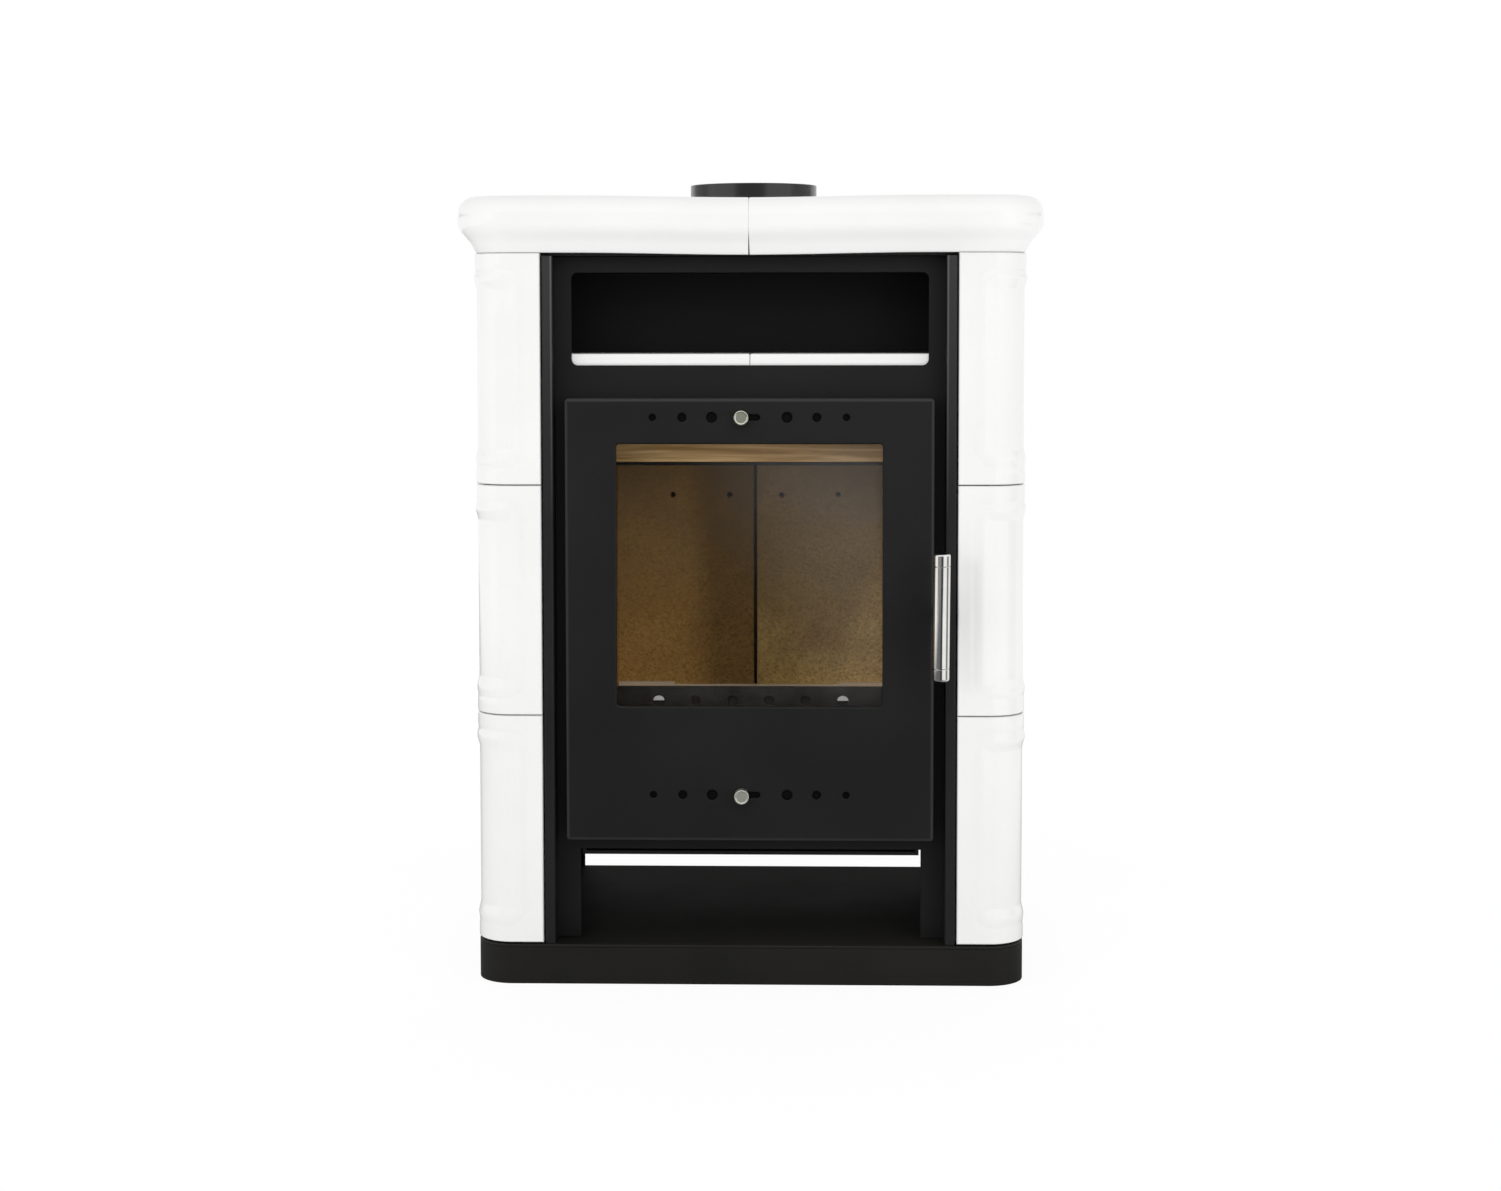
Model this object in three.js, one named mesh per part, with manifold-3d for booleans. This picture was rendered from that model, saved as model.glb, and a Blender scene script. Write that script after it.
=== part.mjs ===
// A tiled wood stove: sheet-steel body, glazed door, ceramic side tiles and a ceramic top.
// Millimetres, +Z up, the front faces -Y. Inside the stove group, y is the depth behind the
// front plane of the casing strips; the group is shifted so that the origin lies on the floor,
// under the middle of the whole stove.
import * as THREE from "three";
import { mergeVertices } from "three/addons/utils/BufferGeometryUtils.js";
import Module from "manifold-3d";

const wasm = await Module();
wasm.setup();

// ---------------------------------------------------------------- driving dimensions
// Clearances
const fitGap = 0.3;
const cutOver = 5;

// Body and plinth
const bodyDepth = 390;
const bodyHalfWidth = 306.3;
const bodyCornerRadius = 38;
const baseHeight = 45;
const baseProud = 2.7;
const baseWall = 3;
const sheet = 2;
const underTop = 822;
const rearInset = 1;
const rearFlange = 25;

// Side tiles
const tileRows = ["lower", "middle", "upper"];
const tileThickness = 12;
const tileJoint = 1.5;
const tileFromBase = 2.5;
const tileFromRear = 2;
const railRise = 3.6;
const beadRise = 4.4;
const grooveRise = 2.0;
const edgeRise = 1.6;
const edgeRound = 2;
const railWidth = 14;
const grooveAt = 19;
const beadAt = 27;
const panelAt = 44;
const stileWidth = 21;
const stilePanelAt = 26;

// Ceramic top
const topHeight = 63;
const topOverhang = 22;
const topJoint = 1.5;
const coveTop = 30;
const bandUnderEdge = 15;
const shoulderUnderEdge = 10;
const lipUnderEdge = 4;

// Casing strips and the recessed front
const stripInner = 219;
const stripWidth = 11.7;
const recess = 31;
const panelSheet = 3;

// Warming niche
const nicheHalfWidth = 200.5;
const nicheSill = 696.4;
const nicheHeight = 103.9;
const nicheCorner = 7;
const nicheToCollar = 5.3;
const linerInset = 2.4;
const shelfTop = 709.5;
const shelfTile = 15.7;

// Log niche
const logHalfWidth = 193;
const logTop = 147;
const rearLogHalfWidth = 222;

// Vent slots of the rear sheet
const ventHeight = 6;
const ventHalfLength = 22;
const ventPitch = 70;
const ventFromEdge = 60;
const ventEndRadius = 2.8;

// Flue
const flueDepth = 215;
const collarRadius = 75;
const collarWall = 3;
const collarRim = 906;
const collarLap = 40;
const flueHoleGap = 2.5;

// Fire chamber
const fireHalfWidth = 191;
const fireBottom = 140;
const fireTop = 688;
const fireWall = 4;
const mouthHalfWidth = 168;
const mouthSill = 178;
const mouthTop = 645;
const hearthTop = 288;
const hearthThickness = 26;
const chamberHalfWidth = 170;
const backBoardFace = 290;
const boardThickness = 25;
const baffleFront = 100;
const baffleUnder = 581;
const baffleThickness = 24;
const boardJoint = 1;
const boardHoleRadius = 3.2;
const boardHoleHeight = 526;
const boardHoleOffsets = [32, 102];

// Grate and ash pan
const grateHalfWidth = 90;
const grateHalfDepth = 65;
const grateDepth = 175;
const grateThickness = 18;
const grateLip = 12;
const grateSlots = 7;
const grateSideRim = 8;
const grateEndRim = 14;
const grateSlotShare = 0.56;
const panHalfWidth = 140;
const panHeight = 62;
const panDepth = 236;
const panWall = 2;
const panFromFront = 6;
const panSill = 1;
const panPullHalfWidth = 45;
const panPullReach = 12;
const panPullHeight = 38;
const railUnderPan = 15;
const railEndGap = 10;

// Log guard
const guardHalfWidth = 160;
const guardRise = 42;
const guardDepth = 52;
const guardThickness = 4;
const guardHoles = 6;
const guardHolePitch = 42;
const guardHoleRadius = 5;
const guardHoleRise = 26;

// Door
const doorHalfWidth = 206;
const doorBottom = 163;
const doorTop = 660;
const doorFront = 1;
const doorDepth = 26;
const doorPlate = 4;
const doorFlange = 3;
const doorBevel = 2.5;
const windowHalfWidth = 148.5;
const windowBottom = 315;
const windowTop = 608;
const windowCorner = 3;
const glassOverlap = 8;
const glassThickness = 4;
const glassGasketThickness = 2;
const gasketWidth = 9;
const glassGasketEdge = 1;
const gasketFromMouth = 2;
const gasketCorner = 6;
const mouthCorner = 4;
const seatFromBack = 3;
const seatSheet = 3;
const seatFromMouth = 18;
const clampWidth = 10;
const clampEndGap = 10;

// Hinges
const hingeInset = 8;
const hingeFromFront = 12;
const hingeHeights = { lower: 235, upper: 575 };
const hingePinRadius = 3;
const hingeHeadRadius = 5;
const hingeHeadHeight = 1.2;
const bracketThickness = 5;
const bracketLeft = 4;
const bracketRight = 6;
const bracketFromPlate = 3;
const bracketTabHeight = 28;
const bracketTabReach = 4;
const eyeHeight = 18;
const eyeBehindPin = 6;
const eyeAbovePin = 2;
const hingeNotchHeight = 32;

// Air slides
const slideHeights = { lower: 215, upper: 639 };
const slideHalfHeight = 9;
const slideHalfLength = 125;
const slideThickness = 2;
const slideTravel = 17.5;
const holePositions = [42, 75, 108];
const holeRadii = [6, 5, 4];
const slotHalfLength = 12;
const slotHalfHeight = 3.5;
const slotEndRadius = 3.4;
const stemRadius = 3;
const knobRadius = 8.2;
const knobLength = 12;
const knobStandOff = 2;
const guideBorder = 5;
const guideEnd = 22;
const guideSheet = 1.5;
const guideFrame = 8;
const guideHold = 1.5;

// Latch and handle
const latchHeight = 420.4;
const latchDepth = 11;
const latchPinRadius = 4;
const latchPinHeadRadius = 6;
const latchPinHead = 1.5;
const latchPinFromMouth = 22;
const latchBlockHeight = 18;
const latchBlockFromMouth = 20;
const latchBossRadius = 8;
const hookThickness = 3;
const hookTipDrop = 0.4;
const hookArmDrop = 4.4;
const hookArmBottom = 10;
const leverThickness = 8;
const leverHalfHeight = 6;
const handleX = 211.5;
const handleRadius = 9.5;
const handleLength = 142.4;
const handleCapLength = 13.5;
const handleStandOff = 45;
const keeperLip = 4.5;
const keeperPocket = 5;
const keeperPocketHeight = 5;
const keeperHeight = 16;
const keeperFront = 20;

// Feet
const footRadius = 17;
const footPad = 8;
const footStemRadius = 6;
const footInset = 45;

// ---------------------------------------------------------------- derived places
const tileTiersBottom = baseHeight + tileFromBase;
const tilePitch = (underTop + 1 - tileTiersBottom) / tileRows.length;
const casingTop = underTop - fitGap - panelSheet - fitGap;
const casingBottom = baseHeight + fitGap;
const panelBack = recess + panelSheet;
const rearFace = bodyDepth - rearInset;
const nicheTop = nicheSill + nicheHeight;
const stoveTop = underTop + topHeight;
const panelHalfWidth = stripInner + stripWidth - sheet - fitGap;
const linerHalfWidth = panelHalfWidth - linerInset;
const nicheBack = flueDepth - collarRadius - nicheToCollar;
const fireBack = backBoardFace + boardThickness + fitGap + fireWall;
const doorBack = doorFront + doorDepth;
const plateBack = doorFront + doorPlate;
const hingeX = -(doorHalfWidth - hingeInset);
const hingeDepth = doorFront + hingeFromFront;
const topHalfWidth = bodyHalfWidth + topOverhang;
const handleFront = -handleStandOff - handleRadius;
const centreDepth = (handleFront + bodyDepth) / 2;

// ---------------------------------------------------------------- materials
function finish(color, roughness, metalness, more = {}) {
  return new THREE.MeshStandardMaterial({ color, roughness, metalness, ...more });
}

const blackSteel = finish(0x232323, 0.55, 0.4);
const collarSteel = finish(0x2c2c2c, 0.35, 0.6);
const whiteGlaze = finish(0xf2f2f0, 0.12, 0);
const polishedSteel = finish(0xb9b9b6, 0.15, 1);
const bareSteel = finish(0x77756f, 0.4, 1);
const castIron = finish(0x2e2d2c, 0.8, 0.5);
const fireBoard = finish(0xa58a62, 0.95, 0);
const ropeGrey = finish(0x6f6f6c, 1, 0);
const ceramicGlass = finish(0x3a3226, 0.05, 0, { transparent: true, opacity: 0.35 });

// ---------------------------------------------------------------- solids
function solidOf(geometry) {
  const plain = geometry.index ? geometry.toNonIndexed() : geometry.clone();
  plain.deleteAttribute("normal");
  plain.deleteAttribute("uv");
  const merged = mergeVertices(plain, 1e-3);
  return new wasm.Manifold(
    new wasm.Mesh({
      numProp: 3,
      vertProperties: merged.attributes.position.array,
      triVerts: new Uint32Array(merged.index.array),
    }),
  );
}

function geometryOf(solid) {
  const mesh = solid.getMesh();
  const geometry = new THREE.BufferGeometry();
  geometry.setAttribute("position", new THREE.BufferAttribute(mesh.vertProperties, 3));
  geometry.setIndex(new THREE.BufferAttribute(mesh.triVerts, 1));
  geometry.computeVertexNormals();
  return geometry;
}

function join(...solids) {
  return solids.reduce((whole, piece) => whole.add(piece));
}

function cut(body, ...tools) {
  return tools.reduce((rest, tool) => rest.subtract(tool), body);
}

function box(x0, x1, y0, y1, z0, z1) {
  const geometry = new THREE.BoxGeometry(x1 - x0, y1 - y0, z1 - z0);
  geometry.translate((x0 + x1) / 2, (y0 + y1) / 2, (z0 + z1) / 2);
  return solidOf(geometry);
}

function roundedRect(x0, x1, z0, z1, radius) {
  const shape = new THREE.Shape();
  shape.moveTo(x0 + radius, z0);
  shape.lineTo(x1 - radius, z0);
  shape.absarc(x1 - radius, z0 + radius, radius, -Math.PI / 2, 0);
  shape.lineTo(x1, z1 - radius);
  shape.absarc(x1 - radius, z1 - radius, radius, 0, Math.PI / 2);
  shape.lineTo(x0 + radius, z1);
  shape.absarc(x0 + radius, z1 - radius, radius, Math.PI / 2, Math.PI);
  shape.lineTo(x0, z0 + radius);
  shape.absarc(x0 + radius, z0 + radius, radius, Math.PI, Math.PI * 1.5);
  return shape;
}

// A shape drawn in x and z, as seen from the front, with its thickness from depth y0 to y1.
function uprightPlate(shape, y0, y1, curveSegments = 4) {
  const settings = { depth: y1 - y0, bevelEnabled: false, curveSegments };
  const geometry = new THREE.ExtrudeGeometry(shape, settings);
  geometry.rotateX(Math.PI / 2);
  geometry.translate(0, y1, 0);
  return solidOf(geometry);
}

// A shape drawn in plan, x and y, from height z0 to z1.
function flatPlate(shape, z0, z1, curveSegments = 6) {
  const settings = { depth: z1 - z0, bevelEnabled: false, curveSegments };
  const geometry = new THREE.ExtrudeGeometry(shape, settings);
  geometry.translate(0, 0, z0);
  return solidOf(geometry);
}

function upright(radius, z0, z1, x, y, segments = 24) {
  const geometry = new THREE.CylinderGeometry(radius, radius, z1 - z0, segments);
  geometry.rotateX(Math.PI / 2);
  geometry.translate(x, y, (z0 + z1) / 2);
  return solidOf(geometry);
}

function alongDepth(radius, y0, y1, x, z, segments = 16) {
  const geometry = new THREE.CylinderGeometry(radius, radius, y1 - y0, segments);
  geometry.translate(x, (y0 + y1) / 2, z);
  return solidOf(geometry);
}

function alongX(radius, x0, x1, y, z, segments = 16) {
  const geometry = new THREE.CylinderGeometry(radius, radius, x1 - x0, segments);
  geometry.rotateZ(Math.PI / 2);
  geometry.translate((x0 + x1) / 2, y, z);
  return solidOf(geometry);
}

// Joins rings of points, each a closed loop of the same count, into one closed body with flat ends.
function loft(rings, endOutlines) {
  const count = rings[0].length;
  const positions = rings.flat().flatMap((point) => [point.x, point.y, point.z]);
  const faces = [];
  for (let ring = 0; ring + 1 < rings.length; ring += 1) {
    for (let i = 0; i < count; i += 1) {
      const a = ring * count + i;
      const b = ring * count + ((i + 1) % count);
      faces.push(a, b, b + count);
      faces.push(a, b + count, a + count);
    }
  }
  const last = (rings.length - 1) * count;
  for (const [a, b, c] of THREE.ShapeUtils.triangulateShape(endOutlines[0], [])) {
    faces.push(c, b, a);
  }
  for (const [a, b, c] of THREE.ShapeUtils.triangulateShape(endOutlines[1], [])) {
    faces.push(last + a, last + b, last + c);
  }
  const geometry = new THREE.BufferGeometry();
  geometry.setAttribute("position", new THREE.Float32BufferAttribute(positions, 3));
  geometry.setIndex(faces);
  const made = solidOf(geometry);
  if (made.volume() > 0) return made;
  const turned = [];
  for (let i = 0; i < faces.length; i += 3) {
    turned.push(faces[i + 2], faces[i + 1], faces[i]);
  }
  geometry.setIndex(turned);
  return solidOf(geometry);
}

function mirrored(solid, side) {
  return side > 0 ? solid : solid.mirror([1, 0, 0]);
}

const stove = new THREE.Group();
stove.position.y = -centreDepth;
const door = new THREE.Group();
stove.add(door);
const upperSlide = new THREE.Group();
const lowerSlide = new THREE.Group();
const latch = new THREE.Group();
door.add(upperSlide, lowerSlide, latch);

function addMesh(group, name, solid, material) {
  const mesh = new THREE.Mesh(geometryOf(solid), material);
  mesh.name = name;
  group.add(mesh);
}

const sides = [
  ["left", -1],
  ["right", 1],
];

// ---------------------------------------------------------------- plinth and feet
// Half width w, front edge at depth y0, rear edge at y1, front corners rounded.
function bodyPlan(w, y0, y1, radius) {
  const shape = new THREE.Shape();
  shape.moveTo(-w + radius, y0);
  shape.lineTo(w - radius, y0);
  shape.absarc(w - radius, y0 + radius, radius, -Math.PI / 2, 0);
  shape.lineTo(w, y1);
  shape.lineTo(-w, y1);
  shape.lineTo(-w, y0 + radius);
  shape.absarc(-w + radius, y0 + radius, radius, Math.PI, Math.PI * 1.5);
  return shape;
}

{
  const w = bodyHalfWidth + baseProud;
  const outside = bodyPlan(w, -baseProud, bodyDepth, bodyCornerRadius + baseProud);
  const inside = bodyPlan(
    w - baseWall,
    -baseProud + baseWall,
    bodyDepth - baseWall,
    bodyCornerRadius + baseProud - baseWall,
  );
  const hollow = flatPlate(inside, -cutOver, baseHeight - baseWall);
  const tray = cut(flatPlate(outside, 0, baseHeight), hollow);
  addMesh(stove, "base_tray", tray, blackSteel);
}

for (const [side, sign] of sides) {
  for (const [end, depth] of [["front", footInset], ["rear", bodyDepth - footInset]]) {
    const x = sign * (bodyHalfWidth - footInset);
    const pad = upright(footRadius, 0, footPad, x, depth, 16);
    const stem = upright(footStemRadius, footPad - 1, baseHeight - baseWall - fitGap, x, depth, 12);
    addMesh(stove, `leveling_foot_${end}_${side}`, join(pad, stem), bareSteel);
  }
}

// ---------------------------------------------------------------- side casings
// Plan of one casing: recess return, front strip, step behind the tile, side wall, rear flange.
{
  const stripOuter = stripInner + stripWidth;
  const back = rearFace - sheet - fitGap;
  const wallX = bodyHalfWidth - tileThickness - 2 * fitGap;
  const stepY = tileThickness + 2 * fitGap;
  const radius = bodyCornerRadius - tileThickness;
  const flangeX = wallX - rearFlange;
  const shape = new THREE.Shape();
  shape.moveTo(stripInner, recess - fitGap);
  shape.lineTo(stripInner, 0);
  shape.lineTo(stripOuter, 0);
  shape.lineTo(stripOuter, stepY);
  shape.lineTo(wallX - radius, stepY);
  shape.absarc(wallX - radius, stepY + radius, radius, -Math.PI / 2, 0);
  shape.lineTo(wallX, back);
  shape.lineTo(flangeX, back);
  shape.lineTo(flangeX, back - sheet);
  shape.lineTo(wallX - sheet, back - sheet);
  shape.lineTo(wallX - sheet, stepY + radius);
  shape.absarc(wallX - radius, stepY + radius, radius - sheet, 0, -Math.PI / 2, true);
  shape.lineTo(stripOuter - sheet, stepY + sheet);
  shape.lineTo(stripOuter - sheet, sheet);
  shape.lineTo(stripInner + sheet, sheet);
  shape.lineTo(stripInner + sheet, recess - fitGap);
  const casing = flatPlate(shape, casingBottom, casingTop, 5);
  for (const [side, sign] of sides) {
    addMesh(stove, `side_casing_${side}`, mirrored(casing, sign), blackSteel);
  }
}

// ---------------------------------------------------------------- front, rear and top sheets
{
  const w = panelHalfWidth;
  const shape = new THREE.Shape();
  shape.moveTo(-w, casingBottom);
  shape.lineTo(-logHalfWidth, casingBottom);
  shape.lineTo(-logHalfWidth, logTop);
  shape.lineTo(logHalfWidth, logTop);
  shape.lineTo(logHalfWidth, casingBottom);
  shape.lineTo(w, casingBottom);
  shape.lineTo(w, casingTop);
  shape.lineTo(-w, casingTop);
  shape.holes.push(
    roundedRect(-nicheHalfWidth, nicheHalfWidth, nicheSill, nicheTop, nicheCorner),
    roundedRect(-mouthHalfWidth, mouthHalfWidth, mouthSill, mouthTop, mouthCorner),
  );
  addMesh(stove, "front_panel", uprightPlate(shape, recess, panelBack), blackSteel);
}

{
  const w = bodyHalfWidth - tileThickness - sheet;
  const shape = new THREE.Shape();
  shape.moveTo(-w, casingBottom);
  shape.lineTo(-rearLogHalfWidth, casingBottom);
  shape.lineTo(-rearLogHalfWidth, logTop);
  shape.lineTo(rearLogHalfWidth, logTop);
  shape.lineTo(rearLogHalfWidth, casingBottom);
  shape.lineTo(w, casingBottom);
  shape.lineTo(w, casingTop);
  shape.lineTo(-w, casingTop);
  for (const height of [logTop + ventFromEdge, casingTop - ventFromEdge]) {
    for (const column of [-2, -1, 0, 1, 2]) {
      const left = column * ventPitch - ventHalfLength;
      const right = column * ventPitch + ventHalfLength;
      shape.holes.push(roundedRect(left, right, height, height + ventHeight, ventEndRadius));
    }
  }
  addMesh(stove, "rear_panel", uprightPlate(shape, rearFace - sheet, rearFace, 2), blackSteel);
}

{
  const front = tileThickness + 2 * fitGap;
  const w = bodyHalfWidth - front;
  const plan = bodyPlan(w, front, rearFace, bodyCornerRadius - front);
  const plate = flatPlate(plan, casingTop + fitGap, underTop - fitGap);
  const hole = upright(collarRadius + fitGap, 0, stoveTop, 0, flueDepth, 40);
  addMesh(stove, "top_plate", cut(plate, hole), blackSteel);
}

// ---------------------------------------------------------------- warming niche
{
  const floor = shelfTop - shelfTile - fitGap;
  const roof = nicheTop + fitGap;
  const front = panelBack + fitGap;
  const shell = box(-linerHalfWidth, linerHalfWidth, front, nicheBack, floor - sheet, roof + sheet);
  const inside = box(
    -linerHalfWidth + sheet,
    linerHalfWidth - sheet,
    front - cutOver,
    nicheBack - sheet,
    floor,
    roof,
  );
  addMesh(stove, "niche_liner", cut(shell, inside), blackSteel);
  for (const [side, sign] of sides) {
    const inner = tileJoint / 2;
    const outer = linerHalfWidth - sheet - fitGap;
    const back = nicheBack - sheet - fitGap;
    const tile = box(inner, outer, front, back, floor + fitGap, shelfTop);
    addMesh(stove, `niche_shelf_tile_${side}`, mirrored(tile, sign), whiteGlaze);
  }
}

// ---------------------------------------------------------------- side tiles
// Height of the relief over the panel, at a distance from a long edge and from an end.
function railRelief(distance) {
  const at = [0, edgeRound, railWidth, grooveAt, beadAt, panelAt];
  const rise = [edgeRise, railRise, railRise, grooveRise, beadRise, 0];
  return steps(distance, at, rise);
}

function stileRelief(distance) {
  return steps(distance, [0, edgeRound, stileWidth, stilePanelAt], [edgeRise, railRise, railRise, 0]);
}

function steps(distance, at, rise) {
  if (distance >= at[at.length - 1]) return 0;
  const i = at.findIndex((place) => place > distance);
  const share = (distance - at[i - 1]) / (at[i] - at[i - 1]);
  return rise[i - 1] + share * (rise[i] - rise[i - 1]);
}

// A point on the body's plan outline and its outward direction, at a way s from the tile's front end.
const tileStart = stripInner + stripWidth + tileJoint;
const tileFlat = bodyHalfWidth - bodyCornerRadius - tileStart;
const tileArc = (bodyCornerRadius * Math.PI) / 2;
const tileRun = tileFlat + tileArc + (bodyDepth - tileFromRear - bodyCornerRadius);

function outlineAt(s) {
  if (s <= tileFlat) return { x: tileStart + s, y: 0, nx: 0, ny: -1 };
  if (s >= tileFlat + tileArc) {
    return { x: bodyHalfWidth, y: bodyCornerRadius + s - tileFlat - tileArc, nx: 1, ny: 0 };
  }
  const turn = (s - tileFlat) / bodyCornerRadius;
  const nx = Math.sin(turn);
  const ny = -Math.cos(turn);
  const centreX = bodyHalfWidth - bodyCornerRadius;
  return { x: centreX + bodyCornerRadius * nx, y: bodyCornerRadius + bodyCornerRadius * ny, nx, ny };
}

function sideTile(z0, z1) {
  const arcSteps = 5;
  const stations = [0, edgeRound, stileWidth, stilePanelAt];
  for (let i = 0; i <= arcSteps; i += 1) stations.push(tileFlat + (tileArc * i) / arcSteps);
  for (const back of [stilePanelAt, stileWidth, edgeRound, 0]) stations.push(tileRun - back);
  const lines = [0, edgeRound, railWidth, grooveAt, beadAt, panelAt];
  const heights = [...lines.map((line) => z0 + line), ...lines.toReversed().map((line) => z1 - line)];
  const rings = [];
  const outlines = [];
  for (const s of stations) {
    const place = outlineAt(s);
    const stile = stileRelief(Math.min(s, tileRun - s));
    const section = heights.map((z) => {
      const rail = railRelief(Math.min(z - z0, z1 - z));
      return new THREE.Vector2(Math.max(stile, rail), z);
    });
    section.push(new THREE.Vector2(-tileThickness, z1), new THREE.Vector2(-tileThickness, z0));
    const ring = section.map(({ x: rise, y: z }) => {
      return new THREE.Vector3(place.x + rise * place.nx, place.y + rise * place.ny, z);
    });
    rings.push(ring);
    outlines.push(section);
  }
  return loft(rings, [outlines[0], outlines[outlines.length - 1]]);
}

tileRows.forEach((row, index) => {
  const z0 = tileTiersBottom + index * tilePitch;
  const tile = sideTile(z0, z0 + tilePitch - tileJoint);
  for (const [side, sign] of sides) {
    addMesh(stove, `side_tile_${side}_${row}`, mirrored(tile, sign), whiteGlaze);
  }
});

// ---------------------------------------------------------------- ceramic top
// Half of the top: at each height the plan outline is drawn in by the moulding's inset.
{
  const moulding = [
    [1, 0],
    [0.86, 3],
    [0.6, 12],
    [0.38, 19],
    [0.12, 25],
    [0, coveTop],
    [0, topHeight - bandUnderEdge],
    [0.09, topHeight - shoulderUnderEdge],
    [0.5, topHeight - lipUnderEdge],
    [0.84, topHeight],
  ].map(([share, rise]) => [share * topOverhang, underTop + rise]);
  const arcSteps = 6;
  const radius = bodyCornerRadius + topOverhang;
  const rings = moulding.map(([inset, z]) => {
    const w = topHalfWidth - inset;
    const front = inset - topOverhang;
    const r = radius - inset;
    const points = [new THREE.Vector3(topJoint / 2, front, z)];
    for (let i = 0; i <= arcSteps; i += 1) {
      const turn = (Math.PI / 2) * (i / arcSteps);
      points.push(new THREE.Vector3(w - r + r * Math.sin(turn), front + r - r * Math.cos(turn), z));
    }
    points.push(new THREE.Vector3(w, bodyDepth, z), new THREE.Vector3(topJoint / 2, bodyDepth, z));
    return points;
  });
  const ends = [rings[0], rings[rings.length - 1]];
  const half = loft(rings, ends.map((ring) => ring.map((p) => new THREE.Vector2(p.x, p.y))));
  const hole = upright(collarRadius + flueHoleGap, 0, stoveTop + cutOver, 0, flueDepth, 40);
  const tile = cut(half, hole);
  for (const [side, sign] of sides) {
    addMesh(stove, `top_tile_${side}`, mirrored(tile, sign), whiteGlaze);
  }
}

// ---------------------------------------------------------------- flue
{
  const pipeRadius = collarRadius - collarWall - fitGap;
  const pipe = cut(
    upright(pipeRadius, fireTop + fitGap, underTop, 0, flueDepth, 32),
    upright(pipeRadius - collarWall, 0, stoveTop, 0, flueDepth, 32),
  );
  addMesh(stove, "flue_pipe", pipe, collarSteel);
  const collar = cut(
    upright(collarRadius, underTop - collarLap, collarRim, 0, flueDepth, 40),
    upright(collarRadius - collarWall, 0, collarRim + cutOver, 0, flueDepth, 40),
  );
  addMesh(stove, "flue_collar", collar, collarSteel);
}

// ---------------------------------------------------------------- fire chamber
const hearthUnder = hearthTop - hearthThickness;
const shellFront = panelBack + fitGap;
const shellInner = fireHalfWidth - fireWall;
const panRail = mouthSill + panSill;
{
  const deck = hearthUnder - fitGap;
  const shellTop = fireTop - fireWall - fitGap;
  const inside = box(-shellInner, shellInner, shellFront - cutOver, fireBack - fireWall, deck, fireTop);
  const below = box(
    -shellInner,
    shellInner,
    shellFront - cutOver,
    fireBack - fireWall,
    fireBottom + fireWall,
    deck - fireWall,
  );
  const drop = box(
    -grateHalfWidth + grateLip,
    grateHalfWidth - grateLip,
    grateDepth - grateHalfDepth + grateLip,
    grateDepth + grateHalfDepth - grateLip,
    deck - 2 * fireWall,
    deck + fireWall,
  );
  const outside = box(-fireHalfWidth, fireHalfWidth, shellFront, fireBack, fireBottom, shellTop);
  let shell = cut(outside, inside, below, drop);
  const railInner = panHalfWidth - railUnderPan;
  const railFront = shellFront + railEndGap;
  const railBack = fireBack - fireWall - railEndGap;
  const intoWall = fireWall / 2;
  const intoFloor = fireBottom + fireWall / 2;
  for (const [, sign] of sides) {
    const ledge = box(railInner, shellInner + intoWall, railFront, railBack, panRail - sheet, panRail);
    const web = box(railInner, railInner + sheet, railFront, railBack, intoFloor, panRail);
    shell = join(shell, mirrored(join(ledge, web), sign));
  }
  addMesh(stove, "firebox_shell", shell, blackSteel);

  const lidUnder = fireTop - fireWall;
  const lid = box(-fireHalfWidth, fireHalfWidth, shellFront, fireBack, lidUnder, fireTop);
  const flueHole = upright(collarRadius - 2 * collarWall, 0, stoveTop, 0, flueDepth, 32);
  addMesh(stove, "firebox_lid", cut(lid, flueHole), blackSteel);
}

{
  const opening = box(
    -grateHalfWidth - fitGap,
    grateHalfWidth + fitGap,
    grateDepth - grateHalfDepth - fitGap,
    grateDepth + grateHalfDepth + fitGap,
    0,
    hearthTop + cutOver,
  );
  const wall = shellInner - fitGap;
  const back = backBoardFace + boardThickness;
  const board = box(-wall, wall, shellFront + fitGap, back, hearthUnder, hearthTop);
  addMesh(stove, "hearth_board", cut(board, opening), fireBoard);
}

{
  const pitch = (2 * (grateHalfWidth - grateSideRim)) / grateSlots;
  const slotHalf = (pitch * grateSlotShare) / 2;
  let grate = box(
    -grateHalfWidth,
    grateHalfWidth,
    grateDepth - grateHalfDepth,
    grateDepth + grateHalfDepth,
    hearthUnder,
    hearthUnder + grateThickness,
  );
  for (let index = 0; index < grateSlots; index += 1) {
    const x = -grateHalfWidth + grateSideRim + (index + 0.5) * pitch;
    const slot = box(
      x - slotHalf,
      x + slotHalf,
      grateDepth - grateHalfDepth + grateEndRim,
      grateDepth + grateHalfDepth - grateEndRim,
      0,
      hearthTop,
    );
    grate = cut(grate, slot);
  }
  addMesh(stove, "grate", grate, castIron);
}

const boardTop = baffleUnder - fitGap;
const boardFoot = hearthTop + fitGap;
for (const [side, sign] of sides) {
  const back = box(
    boardJoint / 2,
    shellInner - fitGap,
    backBoardFace,
    backBoardFace + boardThickness,
    boardFoot,
    boardTop,
  );
  const holes = boardHoleOffsets.map((x) => {
    return alongDepth(boardHoleRadius, 0, bodyDepth, x, boardHoleHeight, 12);
  });
  addMesh(stove, `back_board_${side}`, mirrored(cut(back, ...holes), sign), fireBoard);
  const flank = box(
    chamberHalfWidth,
    shellInner - fitGap,
    guardDepth + guardThickness + fitGap,
    backBoardFace - fitGap,
    boardFoot,
    boardTop,
  );
  addMesh(stove, `side_board_${side}`, mirrored(flank, sign), fireBoard);
}

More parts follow.
